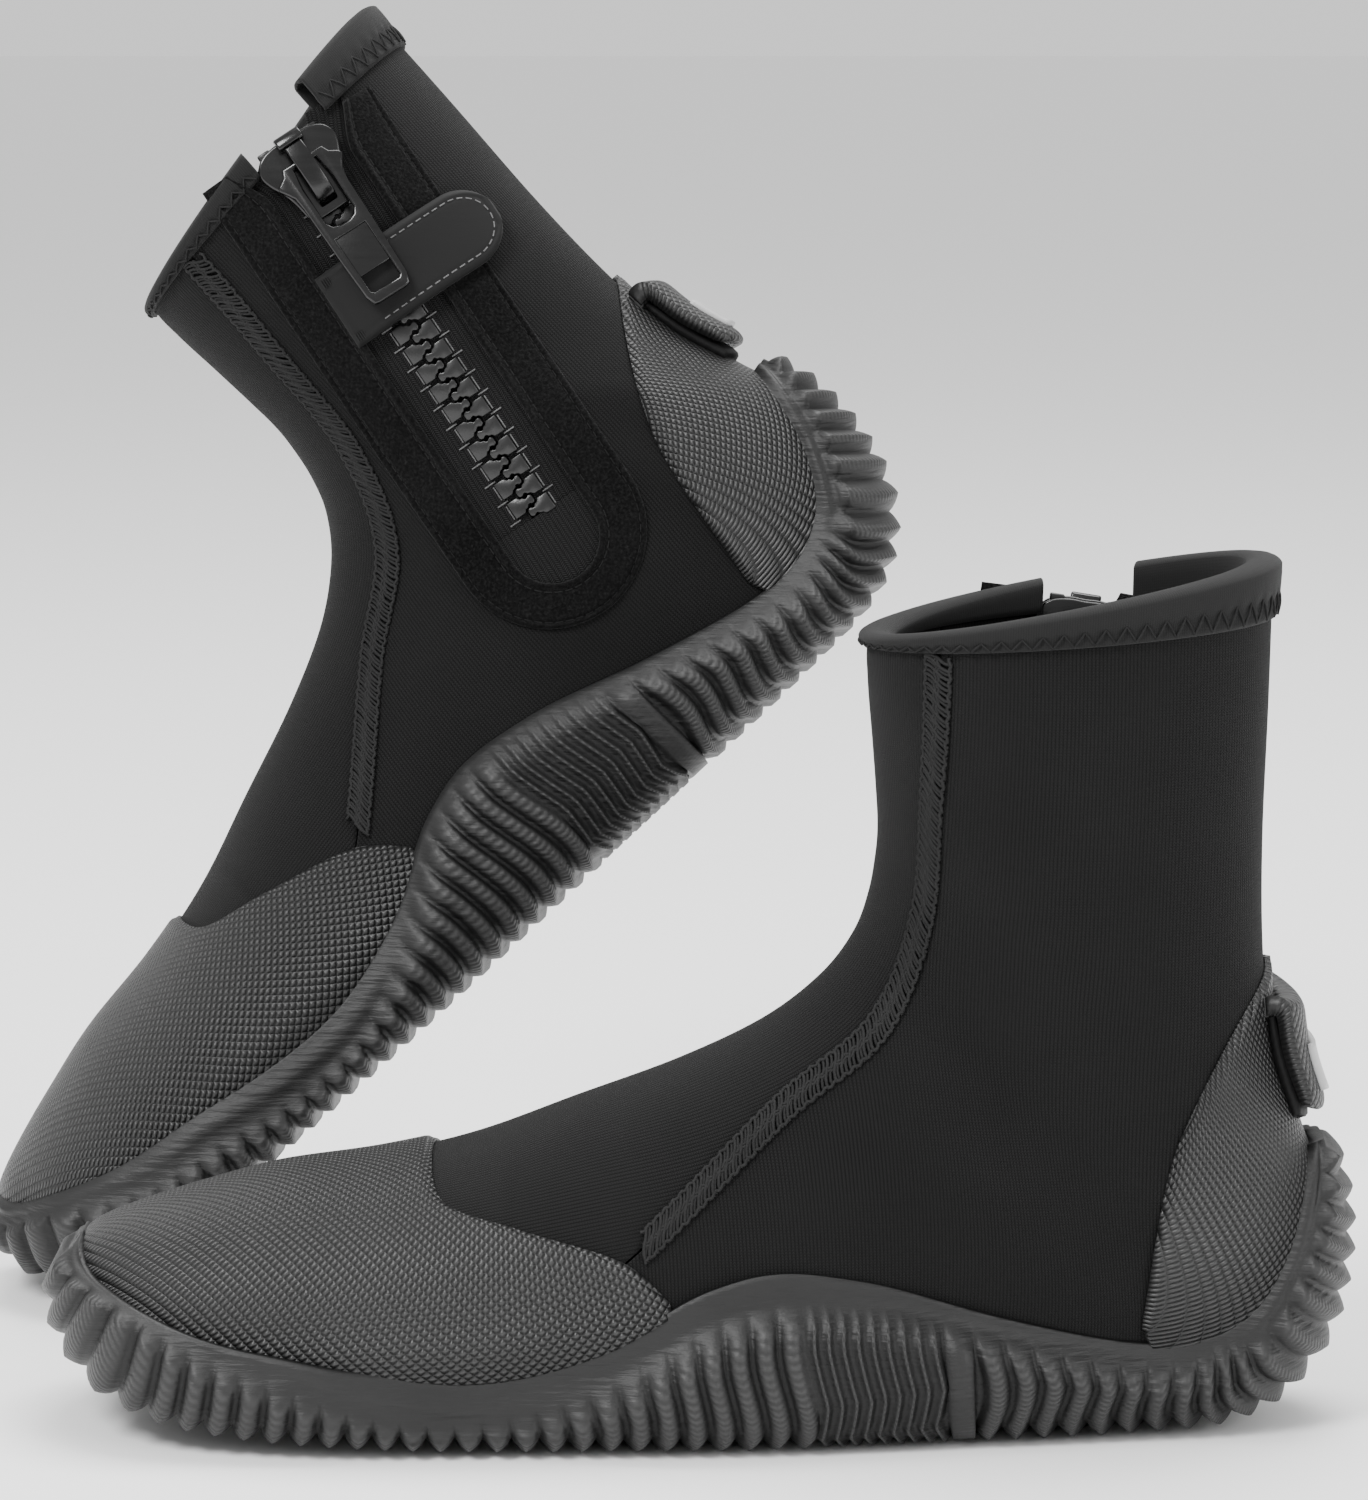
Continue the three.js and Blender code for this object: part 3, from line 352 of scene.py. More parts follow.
    def zip_frame(self, w: float, distance: float, lift: float = 0.0) -> tuple[Array, Array]:
        """A flat frame on the zip: x down it, y towards the toe, z off the boot.

        Args:
            w: where it stands, down from the collar.
            distance: how far off the skin.
            lift: how far x turns off the boot, degrees.
        Returns:
            Its origin, and its three axes as the rows of a matrix.
        """
        a, b, c = self.zip_point(np.array([w - 8, w, w + 8]), np.zeros(3), np.full(3, distance))
        out = self.zip_point(np.array([w]), np.zeros(1), np.ones(1) * (distance + 1))[0] - b
        x = (c - a) / np.linalg.norm(c - a)
        y = np.cross(out, x)
        y = y / np.linalg.norm(y)
        z = np.cross(x, y)
        turn = math.radians(lift)
        x, z = x * math.cos(turn) + z * math.sin(turn), z * math.cos(turn) - x * math.sin(turn)
        return b, np.array([x, y, z])

    def unrolled(self, u: Array, t: Array) -> Array:
        """Where points lie on a flat pattern.

        Args:
            u: where along the boot.
            t: the angle round the section.
        Returns:
            Girth from the instep, and length along the side, mm.
        """
        us, ts = np.linspace(LEAST, LAST, 160), np.linspace(0, PI, 120)
        side = self.at(us[:, None], ts[None, :])
        girth = lengths(side, 1)
        girth = girth[:, [-1]] - girth
        run = lengths(self.at(us, np.full_like(us, PI * 0.6))[:, None], 0)[:, 0]
        turn = np.arctan2(np.sin(t), np.cos(t))
        col = np.clip(np.abs(turn) / PI * 119, 0, 118.999)
        row = np.clip((u - us[0]) / (us[1] - us[0]), 0, 158.999)
        i, j = row.astype(int), col.astype(int)
        f, g = row - i, col - j
        near = girth[i, j] * (1 - g) + girth[i, j + 1] * g
        far = girth[i + 1, j] * (1 - g) + girth[i + 1, j + 1] * g
        return np.stack([(near * (1 - f) + far * f) * np.sign(turn), np.interp(u, us, run)], -1)


SKIN = Skin()


def spread(w: Array | float) -> Array:
    """How far each side of the zip stands off its middle, above the slider."""
    return SPREAD * (1 - smooth(w, 0, MOUTH))


def turned(points: Array, side: Side) -> Array:
    """Points of a boot's own frame in the row's frame, still in millimetres.

    Args:
        points: points as a left boot's.
        side: the boot they belong to.
    Returns:
        The same points in the row's frame.
    """
    if side is Side.LEFT:
        return points + np.array(LEFT_AT)
    yaw, pitch, roll = (math.radians(a) for a in RIGHT_TURN)
    about_z = np.array([[math.cos(yaw), -math.sin(yaw), 0], [math.sin(yaw), math.cos(yaw), 0],
                        [0, 0, 1]])
    about_y = np.array([[math.cos(pitch), 0, -math.sin(pitch)], [0, 1, 0],
                        [math.sin(pitch), 0, math.cos(pitch)]])
    about_x = np.array([[1, 0, 0], [0, math.cos(roll), -math.sin(roll)],
                        [0, math.sin(roll), math.cos(roll)]])
    mirror = points * np.array([1, -1, 1])
    return mirror @ (about_z @ about_y @ about_x).T + np.array(RIGHT_AT)


# ---- mesh tools ----
def only(obj: Object) -> Object:
    """Selects one object alone and makes it active."""
    bpy.ops.object.select_all(action="DESELECT")
    obj.select_set(True)
    bpy.context.view_layer.objects.active = obj
    return obj


def linked(name: str, data: bpy.types.ID) -> Object:
    """A new object in the scene that shows a mesh or a curve."""
    obj = bpy.data.objects.new(name, data)
    bpy.context.scene.collection.objects.link(obj)
    return obj


def points_of(obj: Object) -> Array:
    """A mesh's points, one a row."""
    co = np.zeros(len(obj.data.vertices) * 3)
    obj.data.vertices.foreach_get("co", co)
    return co.reshape(-1, 3)


def put_points(obj: Object, points: Array) -> None:
    """Moves a mesh's points, one a row."""
    obj.data.vertices.foreach_set("co", points.ravel())
    obj.data.update()


def meshed(name: str, curve: bpy.types.Curve) -> Object:
    """A curve as a mesh object."""
    only(linked(name, curve))
    bpy.ops.object.convert(target="MESH")
    obj = bpy.context.active_object
    obj.data.name = name
    return obj


def modify(obj: Object, kind: str, **values: object) -> Object:
    """Adds a modifier and applies it.

    Args:
        obj: the piece.
        kind: the modifier's type.
        values: its settings.
    Returns:
        The piece.
    """
    only(obj)
    modifier = obj.modifiers.new(kind.lower(), kind)
    for name, value in values.items():
        setattr(modifier, name, value)
    bpy.ops.object.modifier_apply(modifier=modifier.name)
    return obj


def turn_out(obj: Object) -> Object:
    """Turns a closed mesh's faces outwards if its volume is negative."""
    mesh = obj.data
    mesh.calc_loop_triangles()
    tris = np.zeros(len(mesh.loop_triangles) * 3, int)
    mesh.loop_triangles.foreach_get("vertices", tris)
    a, b, c = points_of(obj)[tris.reshape(-1, 3)].transpose(1, 0, 2)
    if np.einsum("ij,ij->i", a, np.cross(b, c)).sum() < 0:
        mesh.flip_normals()
    return obj


def shell(name: str, outer: Array, inner: Array, uv: Array,
          marks: dict[str, Array] | None = None) -> Object:
    """A closed sheet: a grid given a wall, with both faces put where they belong.

    Args:
        name: the piece's name.
        outer: the outer face's grid of points, rows by columns, in the row's frame, mm.
        inner: the inner face's grid.
        uv: the pattern's place at each grid point, mm.
        marks: values from 0 to 1 at each outer grid point, by name.
    Returns:
        The piece.
    """
    rows, columns = outer.shape[:2]
    bpy.ops.object.select_all(action="DESELECT")
    bpy.ops.mesh.primitive_grid_add(x_subdivisions=columns - 1, y_subdivisions=rows - 1, size=1)
    obj = bpy.context.active_object
    obj.name = obj.data.name = name
    modify(obj, "SOLIDIFY", thickness=0.01, offset=-1, use_quality_normals=False)
    mesh = obj.data
    count = rows * columns
    put_points(obj, np.vstack([outer.reshape(-1, 3), inner.reshape(-1, 3)]) * MM)
    corner = np.zeros(len(mesh.loops), int)
    mesh.loops.foreach_get("vertex_index", corner)
    flat = uv.reshape(-1, 2)[corner % count] * MM
    mesh.uv_layers[0].data.foreach_set("uv", flat.ravel())
    for mark, values in (marks or {}).items():
        layer = mesh.attributes.new(mark, "FLOAT", "POINT")
        layer.data.foreach_set("value", np.concatenate([values.ravel(), np.zeros(count)]))
    mesh.update()
    turn_out(obj)
    mesh.shade_smooth()
    return obj


def soften(obj: Object, degrees: float = 50) -> Object:
    """Shades a piece smoothly but for its sharp edges."""
    only(obj)
    bpy.ops.object.shade_smooth_by_angle(angle=math.radians(degrees))
    return obj


def threads(name: str, paths: Sequence[Array], radius: float) -> Object:
    """Many lengths of thread as one mesh.

    Args:
        name: the piece's name.
        paths: each length's points in the row's frame, mm.
        radius: the thread's radius, mm.
    Returns:
        The piece.
    """
    curve = bpy.data.curves.new(name, "CURVE")
    curve.dimensions = "3D"
    curve.bevel_depth = radius * MM
    curve.bevel_resolution = 1
    curve.use_fill_caps = True
    for path in paths:
        line = curve.splines.new("POLY")
        line.points.add(len(path) - 1)
        line.points.foreach_set("co", np.hstack([path * MM, np.ones((len(path), 1))]).ravel())
    obj = meshed(name, curve)
    obj.data.shade_smooth()
    return obj


def dashes(line: Array, first: float, spare: float, every: float, dash: float) -> list[Array]:
    """Short stitches along a line.

    Args:
        line: the line's points.
        first: how far along it the first stitch starts.
        spare: how much of its end stays bare.
        every: from one stitch's start to the next one's.
        dash: a stitch's length.
    Returns:
        Each stitch's points.
    """
    run = lengths(line, 0)
    return [np.stack([np.interp(at + np.linspace(0, dash, 4), run, line[:, k])
                      for k in range(3)], -1)
            for at in np.arange(first, run[-1] - spare, every)]


def plate(name: str, outlines: Sequence[Sequence[tuple[float, float]]], low: float, high: float,
          bevel: float, rounded: bool = False) -> Object:
    """A flat plate with holes and rounded edges, in its own frame.

    Args:
        name: the piece's name.
        outlines: its outline and its holes' outlines, x and y in mm.
        low: its lower face's z.
        high: its upper face's z.
        bevel: how wide its edges are rounded.
        rounded: whether the outlines' corners are smoothed.
    Returns:
        The piece, with its points in mm.
    """
    curve = bpy.data.curves.new(name, "CURVE")
    curve.dimensions = "2D"
    curve.fill_mode = "BOTH"
    curve.extrude = (high - low) / 2 - bevel
    curve.bevel_depth = bevel
    curve.bevel_resolution = 2
    curve.offset = -bevel
    for outline in outlines:
        points = np.asarray(outline, float)
        if rounded:
            ring = np.vstack([points[-2:], points, points[:3]])
            points = spline(ring, (len(ring) - 1) * 5 + 1)[10:10 + len(outline) * 5]
        line = curve.splines.new("POLY")
        line.points.add(len(points) - 1)
        flat = np.hstack([points, np.zeros((len(points), 1)), np.ones((len(points), 1))])
        line.points.foreach_set("co", flat.ravel())
        line.use_cyclic_u = True
    obj = meshed(name, curve)
    put_points(obj, points_of(obj) + (0, 0, (low + high) / 2))
    only(obj)
    bpy.ops.object.mode_set(mode="EDIT")
    bpy.ops.mesh.select_all(action="SELECT")
    bpy.ops.mesh.remove_doubles(threshold=1e-3)
    bpy.ops.mesh.normals_make_consistent(inside=False)
    bpy.ops.object.mode_set(mode="OBJECT")
    return obj


def join(pieces: Sequence[Object]) -> Object:
    """Joins pieces into the first one."""
    only(pieces[0])
    for piece in pieces[1:]:
        piece.select_set(True)
    bpy.ops.object.join()
    return bpy.context.active_object


def copy_of(node: str, name: str, bevel: float, segments: int = 2) -> Object:
    """A CAD node's shape as a new piece with joined corners and rounded edges.

    Args:
        node: the node.
        name: the new piece's name.
        bevel: how wide its edges are rounded, mm.
        segments: how finely they are rounded.
    Returns:
        The piece.
    """
    obj = linked(name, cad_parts[node].data.copy())
    obj.data.name = name
    obj.data.materials.clear()
    only(obj)
    bpy.ops.object.mode_set(mode="EDIT")
    bpy.ops.mesh.select_all(action="SELECT")
    bpy.ops.mesh.remove_doubles(threshold=2e-5)
    bpy.ops.mesh.dissolve_limited(angle_limit=math.radians(3))
    bpy.ops.object.mode_set(mode="OBJECT")
    modify(obj, "BEVEL", width=bevel * MM, segments=segments, limit_method="ANGLE",
           angle_limit=math.radians(35), use_clamp_overlap=True)
    return soften(obj, 40)


# ---- materials ----
class Pattern(Enum):
    """What the surface of a finish is made like."""

    KNIT = "knit"
    PLUSH = "plush"
    DIAMOND = "diamond"
    RIBBED = "ribbed rubber"
    GRAIN = "moulded grain"
    WOVEN = "woven tape"
    LAMINATE = "smooth cloth"
    THREAD = "twisted thread"
    RESIN = "moulded resin"
    METAL = "plated metal"
    PAPER = "plain"


class Nodes:
    """Short ways to add nodes to a tree."""

    def __init__(self, tree: bpy.types.NodeTree) -> None:
        """Works on one node tree."""
        self.tree = tree

    def add(self, kind: str, **inputs: object) -> bpy.types.Node:
        """Adds a node.

        Args:
            kind: its Blender type.
            inputs: sockets or values by input name, with _ for a space.
        Returns:
            The node.
        """
        node = self.tree.nodes.new(kind)
        for name, value in inputs.items():
            self.feed(node.inputs[name.replace("_", " ")], value)
        return node

    def feed(self, socket: bpy.types.NodeSocket, value: object) -> None:
        """Links a socket to another one, or sets its value."""
        if isinstance(value, bpy.types.NodeSocket):
            self.tree.links.new(value, socket)
        else:
            socket.default_value = value

    def math(self, operation: str, a: object, b: object = 0.0, c: object = 0.0) -> Socket:
        """One step of arithmetic.

        Args:
            operation: its Blender type.
            a: the first socket or value.
            b: the second one.
            c: the third one.
        Returns:
            The result's socket.
        """
        node = self.tree.nodes.new("ShaderNodeMath")
        node.operation = operation
        for socket, value in zip(node.inputs, (a, b, c)):
            self.feed(socket, value)
        return node.outputs[0]

    def mix(self, share: object, a: object, b: object) -> Socket:
        """A colour between two.

        Args:
            share: how much of the second, 0 to 1.
            a: the first colour.
            b: the second colour.
        Returns:
            The colour's socket.
        """
        node = self.tree.nodes.new("ShaderNodeMix")
        node.data_type = "RGBA"
        for socket, value in zip((node.inputs[0], node.inputs[6], node.inputs[7]), (share, a, b)):
            self.feed(socket, value)
        return node.outputs[2]

    def noise(self, vector: object, scale: float, detail: float = 3.0) -> Socket:
        """The socket of noise from 0 to 1."""
        node = self.add("ShaderNodeTexNoise", Vector=vector, Scale=scale, Detail=detail)
        return node.outputs["Fac"]


def group(name: str, inputs: Sequence[tuple[str, str, float]], outputs: Sequence[str],
          build: Callable[[Nodes, bpy.types.Node, bpy.types.Node], None]) -> bpy.types.NodeTree:
    """A node group with named inputs and outputs, built once.

    Args:
        name: the group's name.
        inputs: each input's name, socket type and value.
        outputs: the value outputs' names.
        build: adds the group's nodes between its input and output nodes.
    Returns:
        The group.
    """
    if name in bpy.data.node_groups:
        return bpy.data.node_groups[name]
    tree = bpy.data.node_groups.new(name, "ShaderNodeTree")
    for label, kind, value in inputs:
        socket = tree.interface.new_socket(label, in_out="INPUT", socket_type=kind)
        if kind == "NodeSocketFloat":
            socket.default_value = value
    for label in outputs:
        tree.interface.new_socket(label, in_out="OUTPUT", socket_type="NodeSocketFloat")
    nodes = Nodes(tree)
    build(nodes, tree.nodes.new("NodeGroupInput"), tree.nodes.new("NodeGroupOutput"))
    return tree


PITCHED = [("Vector", "NodeSocketVector", 0), ("Pitch", "NodeSocketFloat", 1)]


def in_pitches(n: Nodes, into: bpy.types.Node) -> tuple[Socket, Socket]:
    """x and y of a group's vector, in pitches."""
    place = n.add("ShaderNodeSeparateXYZ", Vector=into.outputs["Vector"])
    x, y = (n.math("DIVIDE", place.outputs[i], into.outputs["Pitch"]) for i in (0, 1))
    return x, y


def stockinette() -> bpy.types.NodeTree:
    """Columns of small V-shaped stitches, as on knitted cloth."""
    def build(n: Nodes, into: bpy.types.Node, out: bpy.types.Node) -> None:
        """Adds the group's nodes."""
        x, y = in_pitches(n, into)
        wale = n.math("FRACT", x)
        lean = n.math("ABSOLUTE", n.math("SUBTRACT", wale, 0.5))
        row = n.math("MULTIPLY_ADD", lean, 1.3, n.math("MULTIPLY", y, 1.3))
        loop = n.math("ABSOLUTE", n.math("SINE", n.math("MULTIPLY", row, PI)))
        column = n.math("SINE", n.math("MULTIPLY", wale, PI))
        rise = n.math("MULTIPLY", n.math("POWER", column, 0.6), n.math("POWER", loop, 0.5))
        n.feed(out.inputs["Height"], rise)
    return group("stockinette", PITCHED, ["Height"], build)


def raised_diamonds() -> bpy.types.NodeTree:
    """Raised diamonds between crossing grooves."""
    def build(n: Nodes, into: bpy.types.Node, out: bpy.types.Node) -> None:
        """Adds the group's nodes."""
        x, y = in_pitches(n, into)
        y = n.math("MULTIPLY", y, into.outputs["Slant"])
        one = n.math("SINE", n.math("MULTIPLY", n.math("ADD", x, y), PI))
        two = n.math("SINE", n.math("MULTIPLY", n.math("SUBTRACT", x, y), PI))
        low = n.math("MULTIPLY", n.math("ABSOLUTE", one), n.math("ABSOLUTE", two))
        n.feed(out.inputs["Height"], n.math("POWER", low, 0.75))
    return group("raised_diamonds", [*PITCHED, ("Slant", "NodeSocketFloat", 1)], ["Height"], build)


def herringbone() -> bpy.types.NodeTree:
    """Ribs of slanted yarn, as on woven tape."""
    def build(n: Nodes, into: bpy.types.Node, out: bpy.types.Node) -> None:
        """Adds the group's nodes."""
        x, y = in_pitches(n, into)
        zag = n.math("PINGPONG", x, 1.0)
        slant = n.math("ADD", n.math("MULTIPLY", y, 2.0), zag)
        yarn = n.math("SINE", n.math("MULTIPLY", slant, PI))
        rib = n.math("ABSOLUTE", n.math("SINE", n.math("MULTIPLY", x, PI)))
        rise = n.math("MULTIPLY", n.math("ABSOLUTE", yarn), n.math("POWER", rib, 0.5))
        n.feed(out.inputs["Height"], rise)
    return group("herringbone", PITCHED, ["Height"], build)


def mottling() -> bpy.types.NodeTree:
    """Soft patches and fine specks, for colour and gloss that vary a little."""
    def build(n: Nodes, into: bpy.types.Node, out: bpy.types.Node) -> None:
        """Adds the group's nodes."""
        vector = into.outputs["Vector"]
        n.feed(out.inputs["Patches"], n.noise(vector, 38, 4))
        n.feed(out.inputs["Specks"], n.noise(vector, 2300, 2))
        stretched = n.add("ShaderNodeMapping", Vector=vector)
        stretched.inputs["Scale"].default_value = (1, 1, 9)
        n.feed(out.inputs["Creases"], n.noise(stretched.outputs[0], 90, 5))
    return group("mottling", [("Vector", "NodeSocketVector", 0)], ["Patches", "Specks", "Creases"],
                 build)


@dataclass(frozen=True)
class Finish:
    """A procedural finish."""

    name: str
    pattern: Pattern
    color: tuple[float, float, float]
    light: tuple[float, float, float]
    roughness: float = 0.8
    pitch: float = 1.0
    relief: float = 0.1
    sheen: float = 0.0
    specular: float = 0.5
    metallic: float = 0.0
    mottle: float = 0.5

    def material(self) -> bpy.types.Material:
        """The finish as a Blender material, made once."""
        label = f"boot_{self.name}"
        if label in bpy.data.materials:
            return bpy.data.materials[label]
        made = bpy.data.materials.new(label)
        made.use_nodes = True
        made.node_tree.nodes.clear()
        n = Nodes(made.node_tree)
        place = n.add("ShaderNodeTexCoord")
        patches = n.add("ShaderNodeGroup")
        patches.node_tree = mottling()
        n.feed(patches.inputs["Vector"], place.outputs["Object"])
        height, tone = self._surface(n, place, patches)
        shader = n.add("ShaderNodeBsdfPrincipled")
        wide = n.math("MULTIPLY", n.math("SUBTRACT", patches.outputs["Patches"], 0.5), self.mottle)
        share = n.math("ADD", tone, wide)
        share.node.use_clamp = True
        n.feed(shader.inputs["Base Color"], n.mix(share, (*self.color, 1), (*self.light, 1)))
        rough = n.math("MULTIPLY_ADD", patches.outputs["Specks"], 0.12, self.roughness - 0.06)
        n.feed(shader.inputs["Roughness"], rough)
        shader.inputs["Metallic"].default_value = self.metallic
        shader.inputs["Specular IOR Level"].default_value = self.specular
        shader.inputs["Sheen Weight"].default_value = self.sheen
        shader.inputs["Sheen Roughness"].default_value = 0.45
        bump = n.add("ShaderNodeBump", Height=height)
        bump.inputs["Distance"].default_value = self.relief * MM
        bump.inputs["Strength"].default_value = 1.0
        n.feed(shader.inputs["Normal"], bump.outputs[0])
        out = n.add("ShaderNodeOutputMaterial")
        n.feed(out.inputs[0], shader.outputs[0])
        return made

    def _grouped(self, n: Nodes, tree: bpy.types.NodeTree, vector: object,
                 **values: float) -> Socket:
        """Places a pattern group.

        Args:
            n: the material's nodes.
            tree: the group.
            vector: the pattern's place.
            values: the group's other inputs.
        Returns:
            Its height's socket.
        """
        node = n.add("ShaderNodeGroup")
        node.node_tree = tree
        n.feed(node.inputs["Vector"], vector)
        n.feed(node.inputs["Pitch"], self.pitch * MM)
        for name, value in values.items():
            n.feed(node.inputs[name], value)
        return node.outputs["Height"]

    def _surface(self, n: Nodes, place: bpy.types.Node,
                 patches: bpy.types.Node) -> tuple[Socket, Socket]:
        """The pattern's height and colour share.

        Args:
            n: the material's nodes.
            place: its texture coordinates.
            patches: its mottling group.
        Returns:
            The sockets of the height and of the share of the light colour, 0 to 1.
        """
        uv, specks = place.outputs["UV"], patches.outputs["Specks"]
        creases = patches.outputs["Creases"]
        if self.pattern is Pattern.KNIT:
            rise = self._grouped(n, stockinette(), uv)
            height = n.math("MULTIPLY_ADD", specks, 0.35, rise)
            return height, n.math("MULTIPLY", rise, 0.55)
        if self.pattern is Pattern.DIAMOND:
            rise = self._grouped(n, raised_diamonds(), uv, Slant=0.95)
            # Tops of the raised diamonds painted lighter than the grooves: a painted highlight,
            # with painted shade in the grooves.
            painted_highlight = n.math("MULTIPLY", n.math("POWER", rise, 1.8), n.math("ADD", specks, 0.15))
            return n.math("MULTIPLY_ADD", specks, 0.12, rise), painted_highlight
        if self.pattern is Pattern.WOVEN:
            rise = self._grouped(n, herringbone(), uv)
            return n.math("MULTIPLY_ADD", specks, 0.3, rise), rise
        if self.pattern is Pattern.RIBBED:
            crest = n.add("ShaderNodeAttribute")
            crest.attribute_name = "crest"
            line = n.add("ShaderNodeSeparateXYZ", Vector=uv)
            beat = n.math("SINE", n.math("MULTIPLY", line.outputs[0], 2 * PI / (1.15 * MM)))
            tops = n.add("ShaderNodeMapRange", Value=crest.outputs["Fac"])
            tops.inputs["From Min"].default_value = 0.62
            tops.inputs["From Max"].default_value = 0.95
            # Lighter rib tops: partly real rubbed wear and partly a painted highlight.
            wear_and_highlight = n.math("MULTIPLY", tops.outputs[0], n.noise(place.outputs["Object"], 140, 3))
            nick = n.math("MULTIPLY", n.math("MULTIPLY", beat, tops.outputs[0]), 0.16)
            height = n.math("ADD", n.math("MULTIPLY_ADD", specks, 0.1, nick),
                            n.math("MULTIPLY", creases, 0.9))
            # A painted highlight streaked along the rib tops.
            glint = n.math("MULTIPLY", wear_and_highlight, n.math("MULTIPLY_ADD", beat, 0.5, 0.35))
            # Crests painted lighter and valleys darker: painted highlight on the crests and painted
            # shade in the valleys.
            body = n.math("MULTIPLY", n.math("POWER", crest.outputs["Fac"], 1.4), 0.56)
            return height, n.math("ADD", body, glint)
        if self.pattern is Pattern.PLUSH:
            fuzz = n.noise(place.outputs["Object"], 1500, 4)
            return n.math("ADD", fuzz, n.math("MULTIPLY", specks, 0.6)), n.math("POWER", fuzz, 3.0)
        if self.pattern is Pattern.GRAIN:
            pores = n.add("ShaderNodeTexVoronoi", Vector=place.outputs["Object"], Scale=900.0)
            pore = pores.outputs["Distance"]
            return n.math("MULTIPLY_ADD", creases, 0.4, pore), n.math("MULTIPLY", pore, 0.6)
        if self.pattern is Pattern.LAMINATE:
            return n.math("MULTIPLY_ADD", creases, 0.7, n.math("MULTIPLY", specks, 0.3)), \
                n.math("MULTIPLY", specks, 0.4)
        if self.pattern is Pattern.THREAD:
            return specks, n.math("POWER", specks, 1.5)
        return n.math("MULTIPLY_ADD", creases, 0.5, specks), n.math("MULTIPLY", creases, 0.4)


def grey(value: int) -> tuple[float, float, float]:
    """A neutral grey, from its value on a screen, 0 to 255."""
    linear = (value / 255) ** 2.2
    return (linear, linear, linear)


SOLE_RUBBER = Finish("sole_rubber", Pattern.RIBBED, grey(6), grey(50), 0.5, relief=0.5,
                     specular=0.35, mottle=0.35)
CAP_RUBBER = Finish("cap_rubber", Pattern.DIAMOND, grey(11), grey(55), 0.42, 2.2, 0.6,
                    specular=0.45, mottle=0.25)
KEEPER_RUBBER = Finish("keeper_rubber", Pattern.DIAMOND, grey(11), grey(48), 0.45, 2.3, 0.4,
                       specular=0.4, mottle=0.2)
SMOOTH_RUBBER = Finish("smooth_rubber", Pattern.GRAIN, grey(14), grey(26), 0.6, relief=0.05,
                       specular=0.2)
NEOPRENE_KNIT = Finish("neoprene_knit", Pattern.KNIT, grey(7), grey(40), 0.9, 0.85, 0.16,
                       sheen=0.04, specular=0.12, mottle=0.2)
TAPE_CLOTH = Finish("binding_tape", Pattern.KNIT, grey(24), grey(44), 0.85, 0.55, 0.06,
                    sheen=0.05, specular=0.15, mottle=0.25)
PLUSH = Finish("plush", Pattern.PLUSH, grey(8), grey(46), 0.95, relief=0.35, sheen=0.04,
               specular=0.08, mottle=0.2)
ZIP_WEAVE = Finish("zip_weave", Pattern.WOVEN, grey(7), grey(39), 0.85, 1.1, 0.3, specular=0.15,
                   mottle=0.2)
SEAM_THREAD = Finish("overlock_thread", Pattern.THREAD, grey(17), grey(44), 0.75, relief=0.08,
                     specular=0.2)
DARK_THREAD = Finish("dark_thread", Pattern.THREAD, grey(14), grey(40), 0.75, relief=0.06,
                     specular=0.2)
PALE_THREAD = Finish("pale_thread", Pattern.THREAD, grey(52), grey(118), 0.7, relief=0.06,
                     specular=0.3)
STRAP_CLOTH = Finish("strap_webbing", Pattern.LAMINATE, grey(15), grey(26), 0.7, relief=0.06,
                     sheen=0.04, specular=0.2, mottle=0.3)
HOOK_CLOTH = Finish("hooks", Pattern.WOVEN, grey(16), grey(44), 0.8, 1.2, 0.4, specular=0.15)
INSOLE_CLOTH = Finish("footbed_cloth", Pattern.KNIT, grey(18), grey(40), 0.95, 1.1, 0.12,
                      specular=0.1)
RESIN = Finish("moulded_resin", Pattern.RESIN, grey(12), grey(28), 0.3, relief=0.02)
GUNMETAL = Finish("gunmetal", Pattern.METAL, grey(52), grey(78), 0.22, relief=0.01, metallic=1.0,
                  mottle=0.3)
# A brighter grey for metal pieces' rounded edges: a painted highlight.
EDGE_HIGHLIGHT = Finish("painted_edge_highlight", Pattern.METAL, grey(150), grey(190), 0.3, relief=0.01,
                     metallic=0.4, mottle=0.3)
PLAIN_STRIP = Finish("plain_strip", Pattern.PAPER, grey(150), grey(190), 0.4, relief=0.02)


